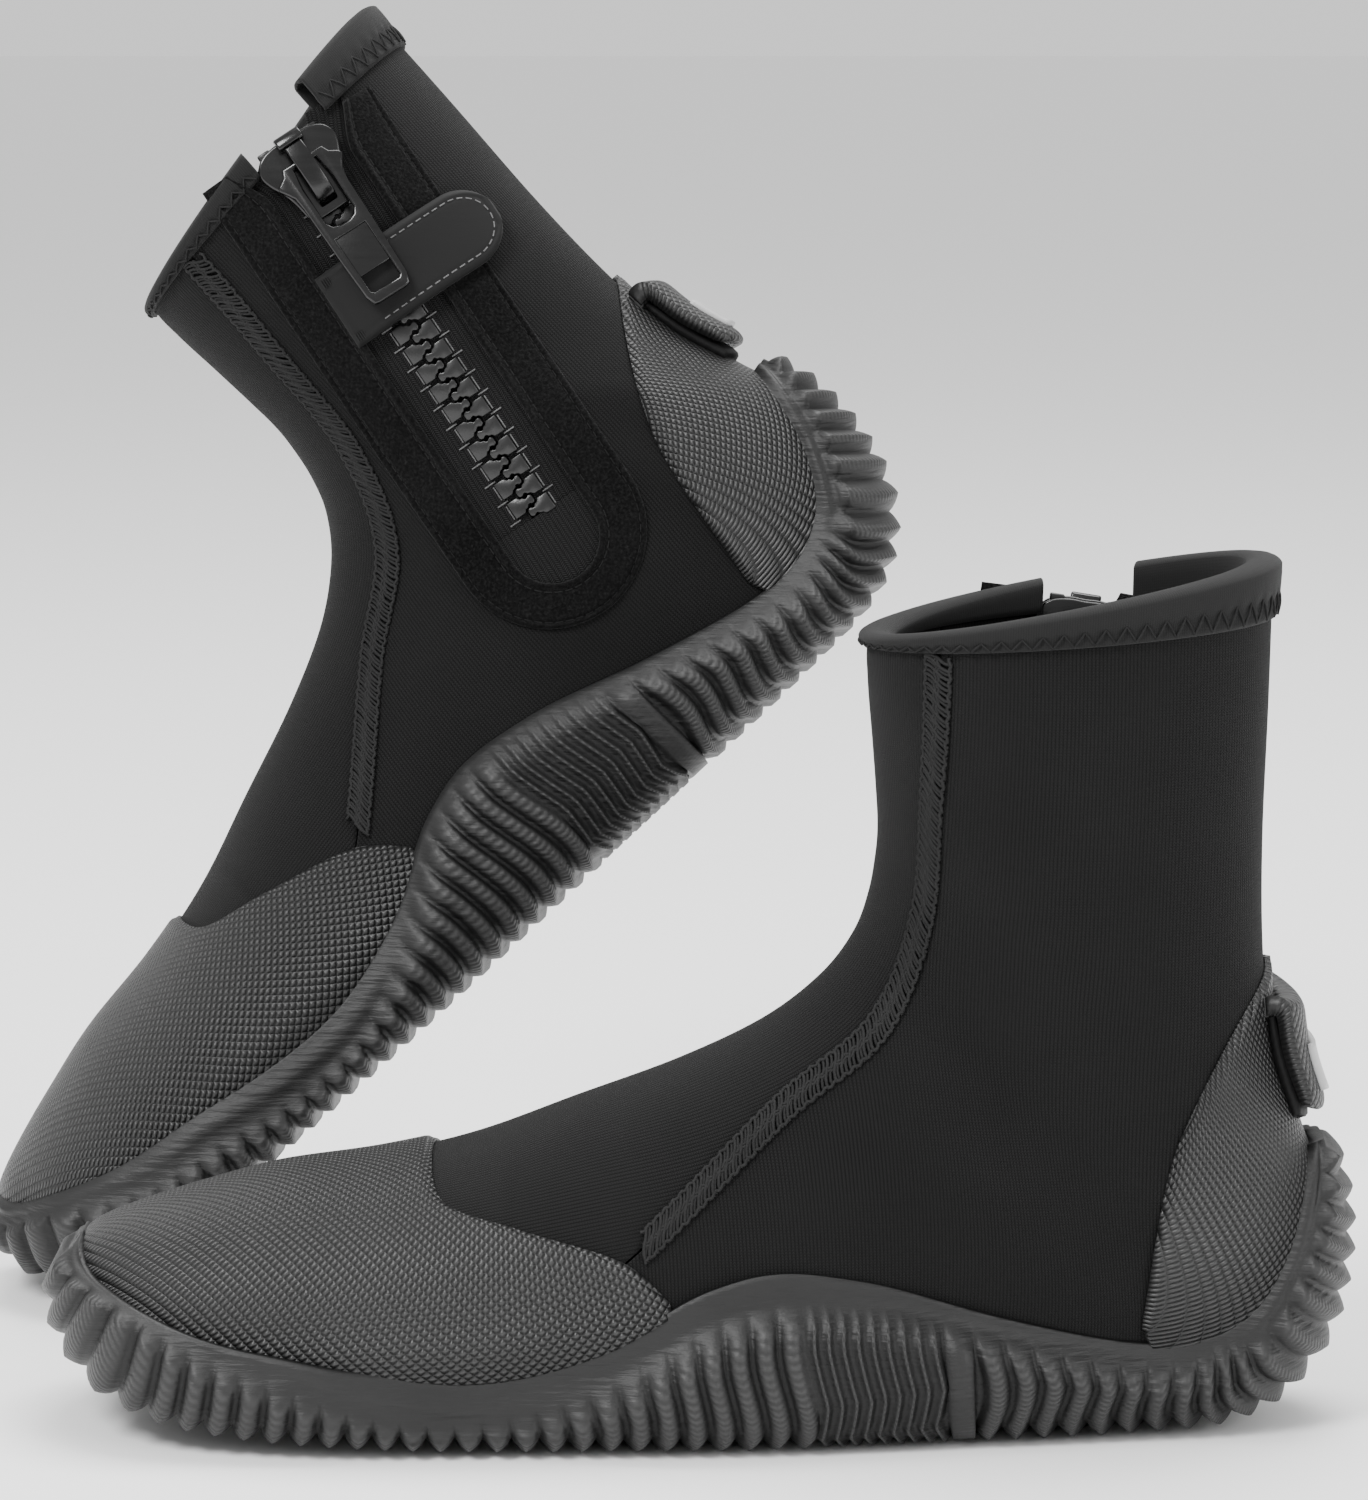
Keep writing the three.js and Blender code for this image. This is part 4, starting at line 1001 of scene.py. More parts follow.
@dataclass
class Boot:
    """One boot of the pair: lays, dresses and seats its pieces."""

    side: Side
    made: list[Object] = field(default_factory=list)
    cut: dict[str, tuple[float, float, float]] = field(default_factory=dict)

    def cloth(self, obj: Object, held: str, rests_on: Sequence[str]) -> None:
        """Forms the names of the pieces that a laid sheet of cloth rests on, and keeps nothing.

        Args:
            obj: the piece, not used.
            held: how it is held, not used.
            rests_on: the pieces under it, without their side.
        """
        [self.name(piece) for piece in rests_on]

    def name(self, piece: str) -> str:
        """A name with the boot's side before it."""
        return f"{self.side.value}_{piece}"

    def row(self, points: Array) -> Array:
        """Points of the boot's own frame in the row's frame."""
        return turned(points, self.side)

    def seat(self, obj: Object, finish: Finish, slot: str, replaces: Sequence[str] = (),
             body: str = "boot") -> Object:
        """Dresses a piece and fixes it to its body.

        Args:
            obj: the piece.
            finish: its material.
            slot: a material slot's name, not used.
            replaces: CAD nodes it stands for, without their side.
            body: the body it rides on, without its side.
        Returns:
            The piece.
        """
        obj.data.materials.clear()
        obj.data.materials.append(finish.material())
        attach(obj, self.name(body))
        if replaces:
            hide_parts(*[self.name(node) for node in replaces])
        self.made.append(obj)
        log.info("%s: %d faces", obj.name, len(obj.data.polygons))
        return obj

    def measure(self, piece: str, outside: Array) -> None:
        """Notes the flat size and area of a sheet from its outer face.

        Args:
            piece: its name without its side.
            outside: the face's grid of points, mm.
        """
        sides = [np.diff(outside, axis=k) for k in (0, 1)]
        area = np.linalg.norm(np.cross(sides[0][:, :-1], sides[1][:-1]), axis=-1).sum() * MM**2
        wide, long = (float(lengths(outside, k).max()) * MM for k in (1, 0))
        self.cut[self.name(piece)] = (wide, long, float(area))

    def lay(self, piece: str, u: Array, t: Array, outer: Array | float, inner: Array | float,
            uv: Array | None = None, marks: dict[str, Array] | None = None) -> Object:
        """A sheet on the skin between two distances.

        Args:
            piece: its name without its side.
            u: u at each grid point.
            t: t at each grid point.
            outer: the outer face's distance off the skin.
            inner: the inner face's distance off the skin.
            uv: the pattern's place, or None for lengths along the grid.
            marks: named values at each grid point.
        Returns:
            The piece.
        """
        outside = SKIN.off(u, t, np.broadcast_to(outer, u.shape))
        inside = SKIN.off(u, t, np.broadcast_to(inner, u.shape))
        if uv is None:
            uv = SKIN.unrolled(u, t)
        self.measure(piece, outside)
        return shell(self.name(piece), self.row(outside), self.row(inside), uv, marks)


@dataclass
class SockPanels:
    """The neoprene sock: front panel, two rear panels, sole panel and footbed."""

    boot: Boot
    rows: int = 170
    edge_gap: float = 0.013

    def ripple(self, u: Array, t: Array) -> Array:
        """Slight undulation of soft cloth over the ankle, mm."""
        bend = np.exp(-((u - 10.5) / 3.2) ** 2)
        folds = np.sin(u * 3.1 + 2.2 * np.cos(t)) * bend * smooth(np.cos(t), -1.0, 0.2) * 0.5
        return folds + 0.16 * np.sin(u * 1.7 + t * 2.3) * np.sin(t * 3.1 - u * 0.6)

    def sock_angle(self, u: Array) -> Array:
        """The sole panel's edge."""
        return 0.85 * np.sqrt(np.clip(1 - ((u - 6.7) / 5.9) ** 2, 0, None))

    def vamp(self) -> None:
        """The front panel, over the toes, instep and shin."""
        u = np.linspace(0.1, RIM, self.rows)
        low = self.sock_angle(u) + self.edge_gap
        low = np.where(u < 6.3, low, np.maximum(low, SKIN.seam_angle(u) + self.edge_gap / 2))
        share = np.linspace(0, 1, 96)
        t = low[:, None] + (2 * PI - 2 * low[:, None]) * share
        u = np.broadcast_to(u[:, None], t.shape)
        puff = self.ripple(u, t)
        obj = self.boot.lay("vamp_panel", u, t, puff, puff - NEOPRENE)
        self.boot.seat(obj, NEOPRENE_KNIT, "neoprene", ["vamp"])

    def quarter(self, sign: int) -> Object:
        """A rear panel.

        Args:
            sign: 1 on the big-toe side and -1 on the other.
        Returns:
            The panel, not yet dressed.
        """
        u = np.linspace(6.62, RIM, self.rows)
        low = np.maximum(self.sock_angle(u) + self.edge_gap, self.edge_gap / 2)
        low = low + (0.001 - low) * smooth(u, 12.5, 12.8)
        high = np.maximum(SKIN.seam_angle(u) - self.edge_gap / 2, low + 0.02)
        t = sign * (low[:, None] + (high - low)[:, None] * np.linspace(0, 1, 56))
        u = np.broadcast_to(u[:, None], t.shape)
        puff = self.ripple(u, t)
        side = SKIN.off(u, t, puff)
        run = lengths(side[..., :2], 1)
        plain = side[..., 0] + 0.35 * side[..., 1]
        girth = plain[:, [-1]] + run[:, [-1]] - run
        across = plain + (girth - plain) * smooth(u, 9.5, 12)
        uv = np.stack([across, side[..., 2]], -1)
        name = "medial_panel" if sign > 0 else "lateral_panel"
        return self.boot.lay(name, u, t, puff, puff - NEOPRENE, uv)

    def quarters(self) -> None:
        """Both rear panels, with the zip's slot cut out of the big-toe side."""
        self.boot.seat(self.quarter(-1), NEOPRENE_KNIT, "neoprene", ["lateral_quarter"])
        panel = self.quarter(1)
        cutter = self.slot_cutter()
        modify(panel, "BOOLEAN", object=cutter, operation="DIFFERENCE", solver="EXACT")
        bpy.data.objects.remove(cutter)
        self.boot.seat(panel, NEOPRENE_KNIT, "neoprene", ["medial_quarter"])

    def slot_cutter(self) -> Object:
        """A prism through the big-toe side in the shape of the slot."""
        w, e = ZipFastener.slot_line(SLOT_HALF, SKIN.zip_length, -20, 60)
        top = SKIN._flat(ZIP_TOP)
        flat = top + SKIN.down * w[:, None] + SKIN.front * e[:, None]
        walls = [np.stack([flat[:, 0], np.full(len(flat), y), flat[:, 1]], -1) for y in (11, 90)]
        bpy.ops.object.select_all(action="DESELECT")
        bpy.ops.mesh.primitive_circle_add(vertices=len(flat), fill_type="NGON")
        obj = bpy.context.active_object
        put_points(obj, self.boot.row(walls[0]) * MM)
        bpy.ops.object.mode_set(mode="EDIT")
        bpy.ops.mesh.select_all(action="SELECT")
        bpy.ops.mesh.extrude_region_move()
        bpy.ops.object.mode_set(mode="OBJECT")
        both = np.vstack(walls)
        lifted = np.zeros(len(obj.data.vertices), bool)
        obj.data.vertices.foreach_get("select", lifted)
        order = np.concatenate([np.nonzero(~lifted)[0], np.nonzero(lifted)[0]])
        placed = np.zeros((len(order), 3))
        placed[order] = self.boot.row(both) * MM
        put_points(obj, placed)
        return turn_out(obj)

    def sole_panel(self) -> None:
        """The sock's own sole and the loose footbed on it."""
        for piece, top, thick, reach, end, slot, finish in (
                ("sock_sole", 0, NEOPRENE, 1, 12.45, "sock_board", NEOPRENE_KNIT),
                ("footbed", -NEOPRENE - 0.5, INSOLE, 0.95, 11.55, "insole_cloth", INSOLE_CLOTH)):
            u = np.linspace(1.6, end, 70)
            angle = reach * self.sock_angle(u)
            t = angle[:, None] * np.linspace(-1, 1, 24)
            u = np.broadcast_to(u[:, None], t.shape)
            obj = self.boot.lay(piece, u, t, top, top - thick)
            node = "lasting_sock" if piece == "sock_sole" else "insole"
            self.boot.seat(obj, finish, slot, [node])

    def build(self) -> None:
        """Makes every panel."""
        self.vamp()
        self.quarters()
        self.sole_panel()


@dataclass
class CupSole:
    """The moulded rubber cup sole, with ribs that wrap up the toe and the heel."""

    boot: Boot
    per_rib: int = 8
    columns: int = 78

    def sole_line(self) -> tuple[Array, Array]:
        """u and length along the sole's middle line."""
        u = np.linspace(0.05, 14.85, 2400)
        s = SKIN.section(u)
        return u, lengths(s[:, :2], 0)

    def rows(self) -> tuple[Array, Array, Array]:
        """Where the grid's rows lie.

        Returns:
            Each row's length along the sole, crest height from 0 to 1, and kind.
        """
        u, run = self.sole_line()
        x = SKIN.section(u)[:, 0]
        under = u > 4
        mark = [float(run[under][np.argmax(x[under] >= edge)]) for edge in (27, 57, 62.5)]
        end = run[-1] - RIB_PITCH * 0.7
        place, crest, fine = [0.0, RIB_PITCH * 0.35], [0.0, 0.0], [COARSE, COARSE]

        def band(start: float, stop: float, pitch: float, kind: float) -> None:
            """Adds the rows of a run of ribs."""
            count = max(1, round((stop - start) / pitch))
            phase = np.arange(self.per_rib) / self.per_rib
            for i in range(count):
                place.extend(start + (stop - start) * (i + phase) / count)
                crest.extend(1 - np.abs(2 * phase - 1))
                fine.extend([kind] * self.per_rib)

        band(RIB_PITCH * 0.8, mark[0], RIB_PITCH, COARSE)
        band(mark[0], mark[1] - 1, FINE_PITCH, FINE)
        for at, high in ((mark[1] - 0.6, 0), (mark[1], 0.82), (mark[1] + 3.2, 0.82),
                         (mark[2] - 0.6, 0.82), (mark[2], 0)):
            place.append(at)
            crest.append(high)
            fine.append(BAR)
        band(mark[2] + 0.6, end, RIB_PITCH, COARSE)
        place.extend([end, end + RIB_PITCH * 0.3])
        crest.extend([0.0, 0.0])
        fine.extend([COARSE, COARSE])
        return np.array(place), np.array(crest), np.array(fine)

    def build(self) -> None:
        """Makes the sole."""
        place, crest, fine = self.rows()
        us, run = self.sole_line()
        base_u = np.interp(place, run, us)
        v = np.linspace(-1, 1, self.columns)
        v = np.sign(v) * (1 - (1 - np.abs(v)) ** 1.25)
        edge = SKIN.sole_angle(base_u)
        t = edge[:, None] * v
        body = SKIN.at(base_u[:, None], t)
        around = lengths(body, 1)
        middle = around[:, [self.columns // 2]] / 2 + around[:, [(self.columns - 1) // 2]] / 2
        around = around - middle
        reach = around[:, [-1]]
        from_edge = reach - np.abs(around)
        arch = smooth(base_u, 5.4, 7.2) * (1 - smooth(base_u, 11.2, 12.2))
        soft = np.sin(2 * PI * (np.abs(around) - 4) / 30)
        sharp = 2 / PI * np.arcsin(np.sin(2 * PI * (np.abs(around) - 2) / 19))
        wave = np.where(fine[:, None] == 1, 1.25 * sharp, 1.35 * soft)
        wave = wave * arch[:, None] * smooth(from_edge, 1, 6) * (fine[:, None] != 2)
        s = SKIN.section(base_u)
        lean = (s[:, 0] - s[:, 2]) / (s[:, 3] - s[:, 1])
        upright = smooth(base_u, 5.2, 7) * (1 - smooth(base_u, 10.4, 11.9))
        high = body[..., 2] - body[:, [self.columns // 2], 2]
        wave = wave + ((lean - 0.1) * upright)[:, None] * high
        u = np.interp((place[:, None] + wave).ravel(), run, us).reshape(wave.shape)
        t = SKIN.sole_angle(u) * v
        nose = smooth(u, 0, 1.4)
        foot = smooth(np.abs(t), 0.45, 0.95)
        sharp_rib = crest[:, None]
        round_rib = np.sin(PI / 2 * crest[:, None]) ** 0.75
        rib = np.where(fine[:, None] == 2, crest[:, None],
                       sharp_rib + (round_rib - sharp_rib) * (0.35 + foot * 0.65))
        rear = smooth(base_u, 11.2, 12.2)
        start = (0.9 + 2.5 * (1 - arch) - 1.0 * rear)[:, None]
        fade = smooth(from_edge, start, start + 1.6)
        swell = smooth(from_edge, 0.4, 4.5)
        low_ribs = 0.45
        rib = np.where(fine[:, None] == 1, sharp_rib ** 1.7, rib)
        depth = RIB_DEPTH * np.where(fine[:, None] == 1, low_ribs, 1.0)
        lip = np.exp(-((from_edge - 1.1) / 0.8) ** 2)
        lip = lip - 0.6 * np.exp(-((from_edge - 2.6) / 0.6) ** 2)
        valley = FLANGE - 1.7 + 1.7 * smooth(from_edge, 0, 1.3) + 0.4 * lip
        valley = valley + (SOLE - RIB_DEPTH - FLANGE) * swell
        creases = 0.16 * np.sin(from_edge * 4.2 + 0.8 * np.sin(place[:, None] * 0.21))
        creases = creases * (1 - fade) * smooth(from_edge, 0.6, 1.4)
        top = np.where(fine[:, None] == 1, RIB_DEPTH * (0.9 - low_ribs), 0.0) * fade
        distance = 1.6 + (valley + creases + top + depth * rib * fade - 1.6) * nose
        outer = SKIN.off(u, t, distance)
        floor = outer[:, [self.columns // 2], 2]
        rise = np.maximum(outer[..., 2] - floor, 0)
        top_edge = np.maximum(np.stack([rise[:, 0], rise[:, -1]]).mean(0), 4)[:, None]
        share = np.clip(rise / top_edge, 0, 1)
        square = (smooth(u, 2.2, 4.0) * (1 - smooth(u, 11.6, 12.9)))
        outer[..., 2] -= square * top_edge * (share - share**2.3)
        outer[..., 1] += square * np.sign(v) * 1.6 * (1 - share) * smooth(np.abs(t), 0.3, 0.9)
        outer[..., 2] = np.maximum(outer[..., 2], 0)
        lining = 0.25 + 1.3 * smooth(from_edge, 1.0, 6.0)
        inner = SKIN.off(u, t, lining)
        uv = np.stack([around, np.broadcast_to(place[:, None], around.shape)], -1)
        obj = shell(self.boot.name("cup_sole"), self.boot.row(outer), self.boot.row(inner), uv,
                    {"crest": 0.55 + (rib - 0.55) * fade * np.where(fine[:, None] == 2, 0.4, 1)})
        self.boot.seat(obj, SOLE_RUBBER, "sole_rubber", ["outsole"])


@dataclass
class RubberCaps:
    """The textured rubber sheets over the toe and round the heel."""

    boot: Boot
    thick: float = 1.9
    edge: float = 0.75

    def edge_profile(self, from_edge: Array) -> Array:
        """The sheet's outer face off the skin: thinner along its free edge."""
        return self.edge + (self.thick - self.edge) * smooth(from_edge, 0, 2.2)

    def toe(self) -> None:
        """The toe cap, from the nose to its curved rear edge."""
        u_rear, t_rear = SKIN.locate(SKIN.outline(TOE_CAP_REAR))
        lower = SKIN.sole_angle(u_rear)
        share = np.clip((PI - t_rear) / (PI - lower), 0, 1)
        order = np.argsort(share)
        a = np.linspace(-1, 1, 150)
        end = np.interp(np.abs(a), share[order], u_rear[order])
        s = np.linspace(0, 1, 110) ** 0.8
        u = 0.5 + s[:, None] * (end - 0.5)[None, :]
        low = SKIN.sole_angle(u) - 0.035
        t = PI + a[None, :] * (PI - low)
        back = lengths(SKIN.at(u, t)[::-1], 0)[::-1]
        obj = self.boot.lay("toe_sheet", u, t, self.edge_profile(back), 0.1)
        self.boot.seat(obj, CAP_RUBBER, "cap_rubber", ["toe_cap"])

    def heel(self) -> None:
        """The heel cap, from its front edges round the back."""
        line = SKIN.outline(HEEL_CAP_FRONT)
        u_front, t_front = SKIN.locate(line)
        order = np.argsort(u_front)
        u0, u1 = 10.62, float(u_front.max()) - 0.02
        u = np.linspace(u0, u1, 110)
        front = np.interp(u, u_front[order], t_front[order])
        foot = SKIN.locate(line[[0]])
        front = np.where(u < foot[0][0], np.maximum(SKIN.sole_angle(u) - 0.02, 0.05), front)
        front = np.maximum(front, 0.03)
        a = np.linspace(-1, 1, 120)
        t = front[:, None] * a
        u = np.broadcast_to(u[:, None], t.shape)
        side = lengths(SKIN.at(u, t), 1)
        edge = np.minimum(side, side[:, [-1]] - side)
        flat = SKIN.off(u, t, 2.0)
        across = lengths(flat, 1)
        half = a.size // 2
        across = across - (across[:, [half - 1]] + across[:, [half]]) / 2
        uv = np.stack([across, flat[..., 2]], -1)
        obj = self.boot.lay("heel_sheet", u, t, self.edge_profile(edge), 0.1, uv)
        self.boot.seat(obj, CAP_RUBBER, "cap_rubber", ["heel_cap"])

    def build(self) -> None:
        """Makes both caps."""
        self.toe()
        self.heel()


@dataclass
class Collar:
    """The folded tape round the rim and its zigzag stitch."""

    boot: Boot
    stitch: float = 4.5  # the zigzag's pitch
    gap: float = 11.4  # from the zip's middle to each end
    out: float = 2.1  # outer face, off the skin
    into: float = -NEOPRENE - 1.6  # inner face, off the skin
    thick: float = 0.9

    def profile(self) -> list[tuple[float, float]]:
        """The tape's outer face, from its lower outer edge over the rim to its inner one.

        Returns:
            Height above the rim, mm, or a share of the drop where it is negative, and distance
            off the skin, at each point.
        """
        out, into = self.out, self.into
        return [(-1.0, 0.5), (-0.97, 1.1), (-0.9, 1.55), (-0.78, 1.35), (-0.66, 1.3),
                (-0.52, 1.75), (-0.36, 2.0), (-0.18, out), (0.0, out - 0.05),
                (0.45, out - 0.35), (0.9, out - 1.0), (1.3, out - 2.1),
                (1.45, (out + into) / 2), (1.3, into + 2.1), (0.9, into + 1.0),
                (0.45, into + 0.35), (0.0, into), (-0.3, into), (-0.7, into + 0.1),
                (-1.0, into + 0.5)]

    def face(self, t: Array, girth: Array, depth: float, inset: float) -> Array:
        """One face of the folded tape, puckered where the zigzag pulls it in.

        Args:
            t: the angle of each point along the rim.
            girth: how far along the rim each is.
            depth: the tape's drop, in u.
            inset: how far inside the outer face.
        Returns:
            The face's grid of points.
        """
        beat = np.sin(2 * PI * girth / self.stitch)
        rows = []
        for height, distance in self.profile():
            toward = math.copysign(inset, distance - (self.out + self.into) / 2)
            puckered = 0.16 * beat if -0.95 < height < -0.45 and distance > 0 else 0 * beat
            d = distance + puckered - toward
            if height < 0:
                rows.append(SKIN.off(np.full_like(t, LAST + height * depth), t, d))
            else:
                point = SKIN.off(np.full_like(t, float(LAST)), t, d)
                rows.append(point + np.array([0, 0, max(height - inset, 0)]))
        return np.array(rows)

    def build(self) -> None:
        """Makes the tape and its thread."""
        depth = COLLAR_DROP / SKIN.collar_step()
        _, ends = SKIN.zip_at(np.ones(2), np.array([-self.gap, self.gap]))
        t = np.linspace(ends[1], ends[0] + 2 * PI, 320)
        girth = lengths(SKIN.at(np.full_like(t, LAST - 0.2), t)[None], 1)[0]
        outer, inner = (self.face(t, girth, depth, inset) for inset in (0, self.thick))
        down = lengths(outer[:, [0]], 0)
        uv = np.stack(np.broadcast_arrays(girth[None], down), -1)
        obj = shell(self.boot.name("collar_tape"), self.boot.row(outer), self.boot.row(inner), uv)
        self.boot.seat(obj, TAPE_CLOTH, "collar_tape", ["collar_binding"])
        self.boot.measure("collar_tape", (outer + inner) / 2)
        self.boot.cloth(obj, "folded", ["vamp_panel", "lateral_panel", "medial_panel"])
        self.zigzag(t, girth, depth)

    def zigzag(self, t: Array, girth: Array, depth: float) -> None:
        """The zigzag thread along the tape's lower edge.

        Args:
            t: the angle of each point along the rim.
            girth: how far along the rim each is.
            depth: the tape's drop, in u.
        """
        count = int(girth[-1] / self.stitch * 2)
        turn = np.interp(np.linspace(1.2, girth[-1] - 1.2, count), girth, t)
        s = np.linspace(0, 1, 5)
        rise = 1.6 + 0.35 * np.sin(PI * s)
        paths = []
        for i in range(count - 1):
            low, climb = (-0.93, 0.43) if i % 2 == 0 else (-0.5, -0.43)
            angle = turn[i] + (turn[i + 1] - turn[i]) * s
            height = low + climb * s
            paths.append(self.boot.row(SKIN.off(LAST + height * depth, angle, rise)))
        obj = threads(self.boot.name("collar_stitch"), paths, 0.26)
        self.boot.seat(obj, DARK_THREAD, "seam_thread")


@dataclass
class FlatSeams:
    """The chunky flatlock seams between the front and rear panels."""

    boot: Boot
    width: float = 7.0
    step: float = 1.1  # from one stitch to the next

    @staticmethod
    def per_mm(u: Array) -> Array:
        """How much t changes over 1 mm across the seam at u."""
        angle, d = SKIN.seam_angle(u), 0.05
        return d / np.linalg.norm(SKIN.at(u, angle + d) - SKIN.at(u, angle), axis=-1)

    def build(self) -> None:
        """Makes the thread of both seams: slanted stitches, and four rows that lock them."""
        top = LAST - COLLAR_DROP / SKIN.collar_step() - 0.03
        start = float(SKIN.locate(SKIN._flat(SEAM_FOOT))[0]) + 0.02
        rng = np.random.default_rng(5)
        for sign, label in ((-1, "lateral"), (1, "medial")):
            u = np.linspace(start, top, 900)
            line = SKIN.at(u, sign * SKIN.seam_angle(u))
            run = lengths(line, 0)
            at = np.arange(0.5, run[-1], self.step)
            paths = []
            for i, place in enumerate(at):
                v = np.linspace(-1, 1, 7)
                lean = 1.5 * v + 0.5 * np.sin(v * PI) + rng.normal(0, 0.12)
                uu = np.interp(place + lean, run, u)
                half = self.width / 2 * (0.92 + 0.08 * rng.random())
                angle = sign * (SKIN.seam_angle(uu) + v * half * self.per_mm(uu))
                rise = 0.35 + 0.5 * (1 - v**2) + 0.25 * ((i % 2) == 0)
                paths.append(self.boot.row(SKIN.off(uu, angle, rise)))
            for v in (-0.86, -0.1, 0.1, 0.86):
                beat = np.arange(0.3, run[-1], 0.7)
                uu = np.interp(beat, run, u)
                sway = v * self.width / 2 + 0.35 * np.sin(2 * PI * beat / 2.6 + v)
                angle = sign * (SKIN.seam_angle(uu) + sway * self.per_mm(uu))
                paths.append(self.boot.row(SKIN.off(uu, angle, 0.7 + 0.3 * (1 - abs(v)))))
            obj = threads(self.boot.name(f"{label}_flatlock"), paths, 0.42)
            self.boot.seat(obj, SEAM_THREAD, "seam_thread", [f"{label}_seam"])


@dataclass
class ZipFastener:
    """The side zip: facing, tapes, teeth, stops, end patch, slider and pull."""

    boot: Boot
    room: float = TOOTH_HEIGHT / 2 + 0.8  # from the chain's middle to each plate of the slider
    plate: float = 1.5  # a plate's thickness
    arch: float = 4.4  # the bridge's height
    pull_plate: float = 1.8  # the pull's thickness

    @staticmethod
    def tooth_places(sign: int) -> Array:
        """How far down the zip each tooth of a row stands: the front row has sign 1."""
        first, last = ZIP_FROM + 6, SKIN.zip_to - 4
        count = int((last - first) / TOOTH_PITCH) + 1
        return first + np.arange(count) * TOOTH_PITCH + (1.28 + (sign < 0) * TOOTH_PITCH / 2)

    @staticmethod
    def slot_line(half: float, foot: float, top: float, count: int) -> tuple[Array, Array]:
        """A U round the slot, w and e, from its top at the toe side to its top at the heel side.

        Args:
            half: half its width.
            foot: w of its lowest point.
            top: w of its two upper ends.
            count: points down each straight side.
        Returns:
            w and e along it.
        """
        down = np.linspace(top, foot - half, count)
        wide = half + spread(np.maximum(down, 0))
        turn = np.linspace(0, PI, 33)[1:-1]
        w = np.concatenate([down, foot - half + half * np.sin(turn), down[::-1]])
        e = np.concatenate([wide, half * np.cos(turn), -wide[::-1]])
        return w, e

    def facing(self) -> None:
        """The plush U round the slot, with a corded inner edge and a stitched groove."""
        length = SKIN.zip_length
        w0, e0 = self.slot_line(SLOT_HALF, length, 5.5, 90)
        w1, e1 = self.slot_line(FACING_HALF, length + 11, 5.5, 90)
        e1 = np.where(w1 < MOUTH, np.sign(e1) * FACING_HALF, e1)
        v = np.linspace(0, 1, 34)[:, None]
        w = w0 + (w1 - w0) * v
        e = e0 + (e1 - e0) * v
        u, t = SKIN.zip_at(w, e)
        rib = 0.9 * np.exp(-((v - 0.07) / 0.06) ** 2)
        groove = 0.75 * np.exp(-((v - 0.86) / 0.03) ** 2) + 0.35 * np.exp(-((v - 0.2) / 0.03) ** 2)
        plump = 1.15 + rib - groove
        plump = plump * smooth(1 - v, -0.01, 0.05) * smooth(v, -0.08, 0.03) + 0.15
        path = lengths(SKIN.at(u, t), 1)
        uv = np.stack([lengths(SKIN.at(u, t), 0), path], -1)
        obj = self.boot.lay("zip_plush", u, t, plump, 0.02, uv)
        self.boot.seat(obj, PLUSH, "zip_plush", ["zip_facing"])
        self.boot.cloth(obj, "laid", ["medial_panel"])
        self.groove_stitch(w0, e0, w1, e1)

    def groove_stitch(self, w0: Array, e0: Array, w1: Array, e1: Array) -> None:
        """Short stitches in the facing's groove and along its slot.

        Args:
            w0: w of the facing's inner edge.
            e0: its e.
            w1: w of the facing's outer edge.
            e1: its e.
        """
        paths = []
        for share, rise in ((0.86, 0.62), (0.2, 1.0)):
            w, e = w0 + (w1 - w0) * share, e0 + (e1 - e0) * share
            line = SKIN.zip_point(w, e, np.full(w.shape, rise))
            paths.extend(self.boot.row(path) for path in dashes(line, 1.0, 2, 2.6, 1.9))
        obj = threads(self.boot.name("facing_stitch"), paths, 0.17)
        self.boot.seat(obj, DARK_THREAD, "seam_thread")

    def tapes(self) -> None:
        """The two woven tapes."""
        for sign, label in ((1, "front"), (-1, "rear")):
            top = ZIP_FROM + max(0.0, sign * (SLOT_HALF + SPREAD) * 0.36)
            w = np.linspace(top, SKIN.zip_to, 110)[:, None]
            v = np.linspace(0, 1, 18)[None, :]
            inner_edge = 1.7
            reach = inner_edge + (SLOT_HALF + 1.0 - inner_edge) * v
            e = sign * (reach + spread(w))
            u, t = SKIN.zip_at(np.broadcast_to(w, e.shape), e)
            cord = 0.35 * np.exp(-((v - 0.36) / 0.06) ** 2)
            cord = cord + 0.25 * np.exp(-((v - 0.8) / 0.08) ** 2)
            lift = TAPE_AT + TAPE + cord * np.ones_like(w)
            uv = np.stack([reach * np.ones_like(w), w * np.ones_like(reach)], -1)
            obj = self.boot.lay(f"woven_tape_{label}", u, t, lift, lift - TAPE, uv)
            self.boot.seat(obj, ZIP_WEAVE, "zip_tape", [f"zip_tape_{label}"])
            self.boot.cloth(obj, "stretched", ["medial_panel"])

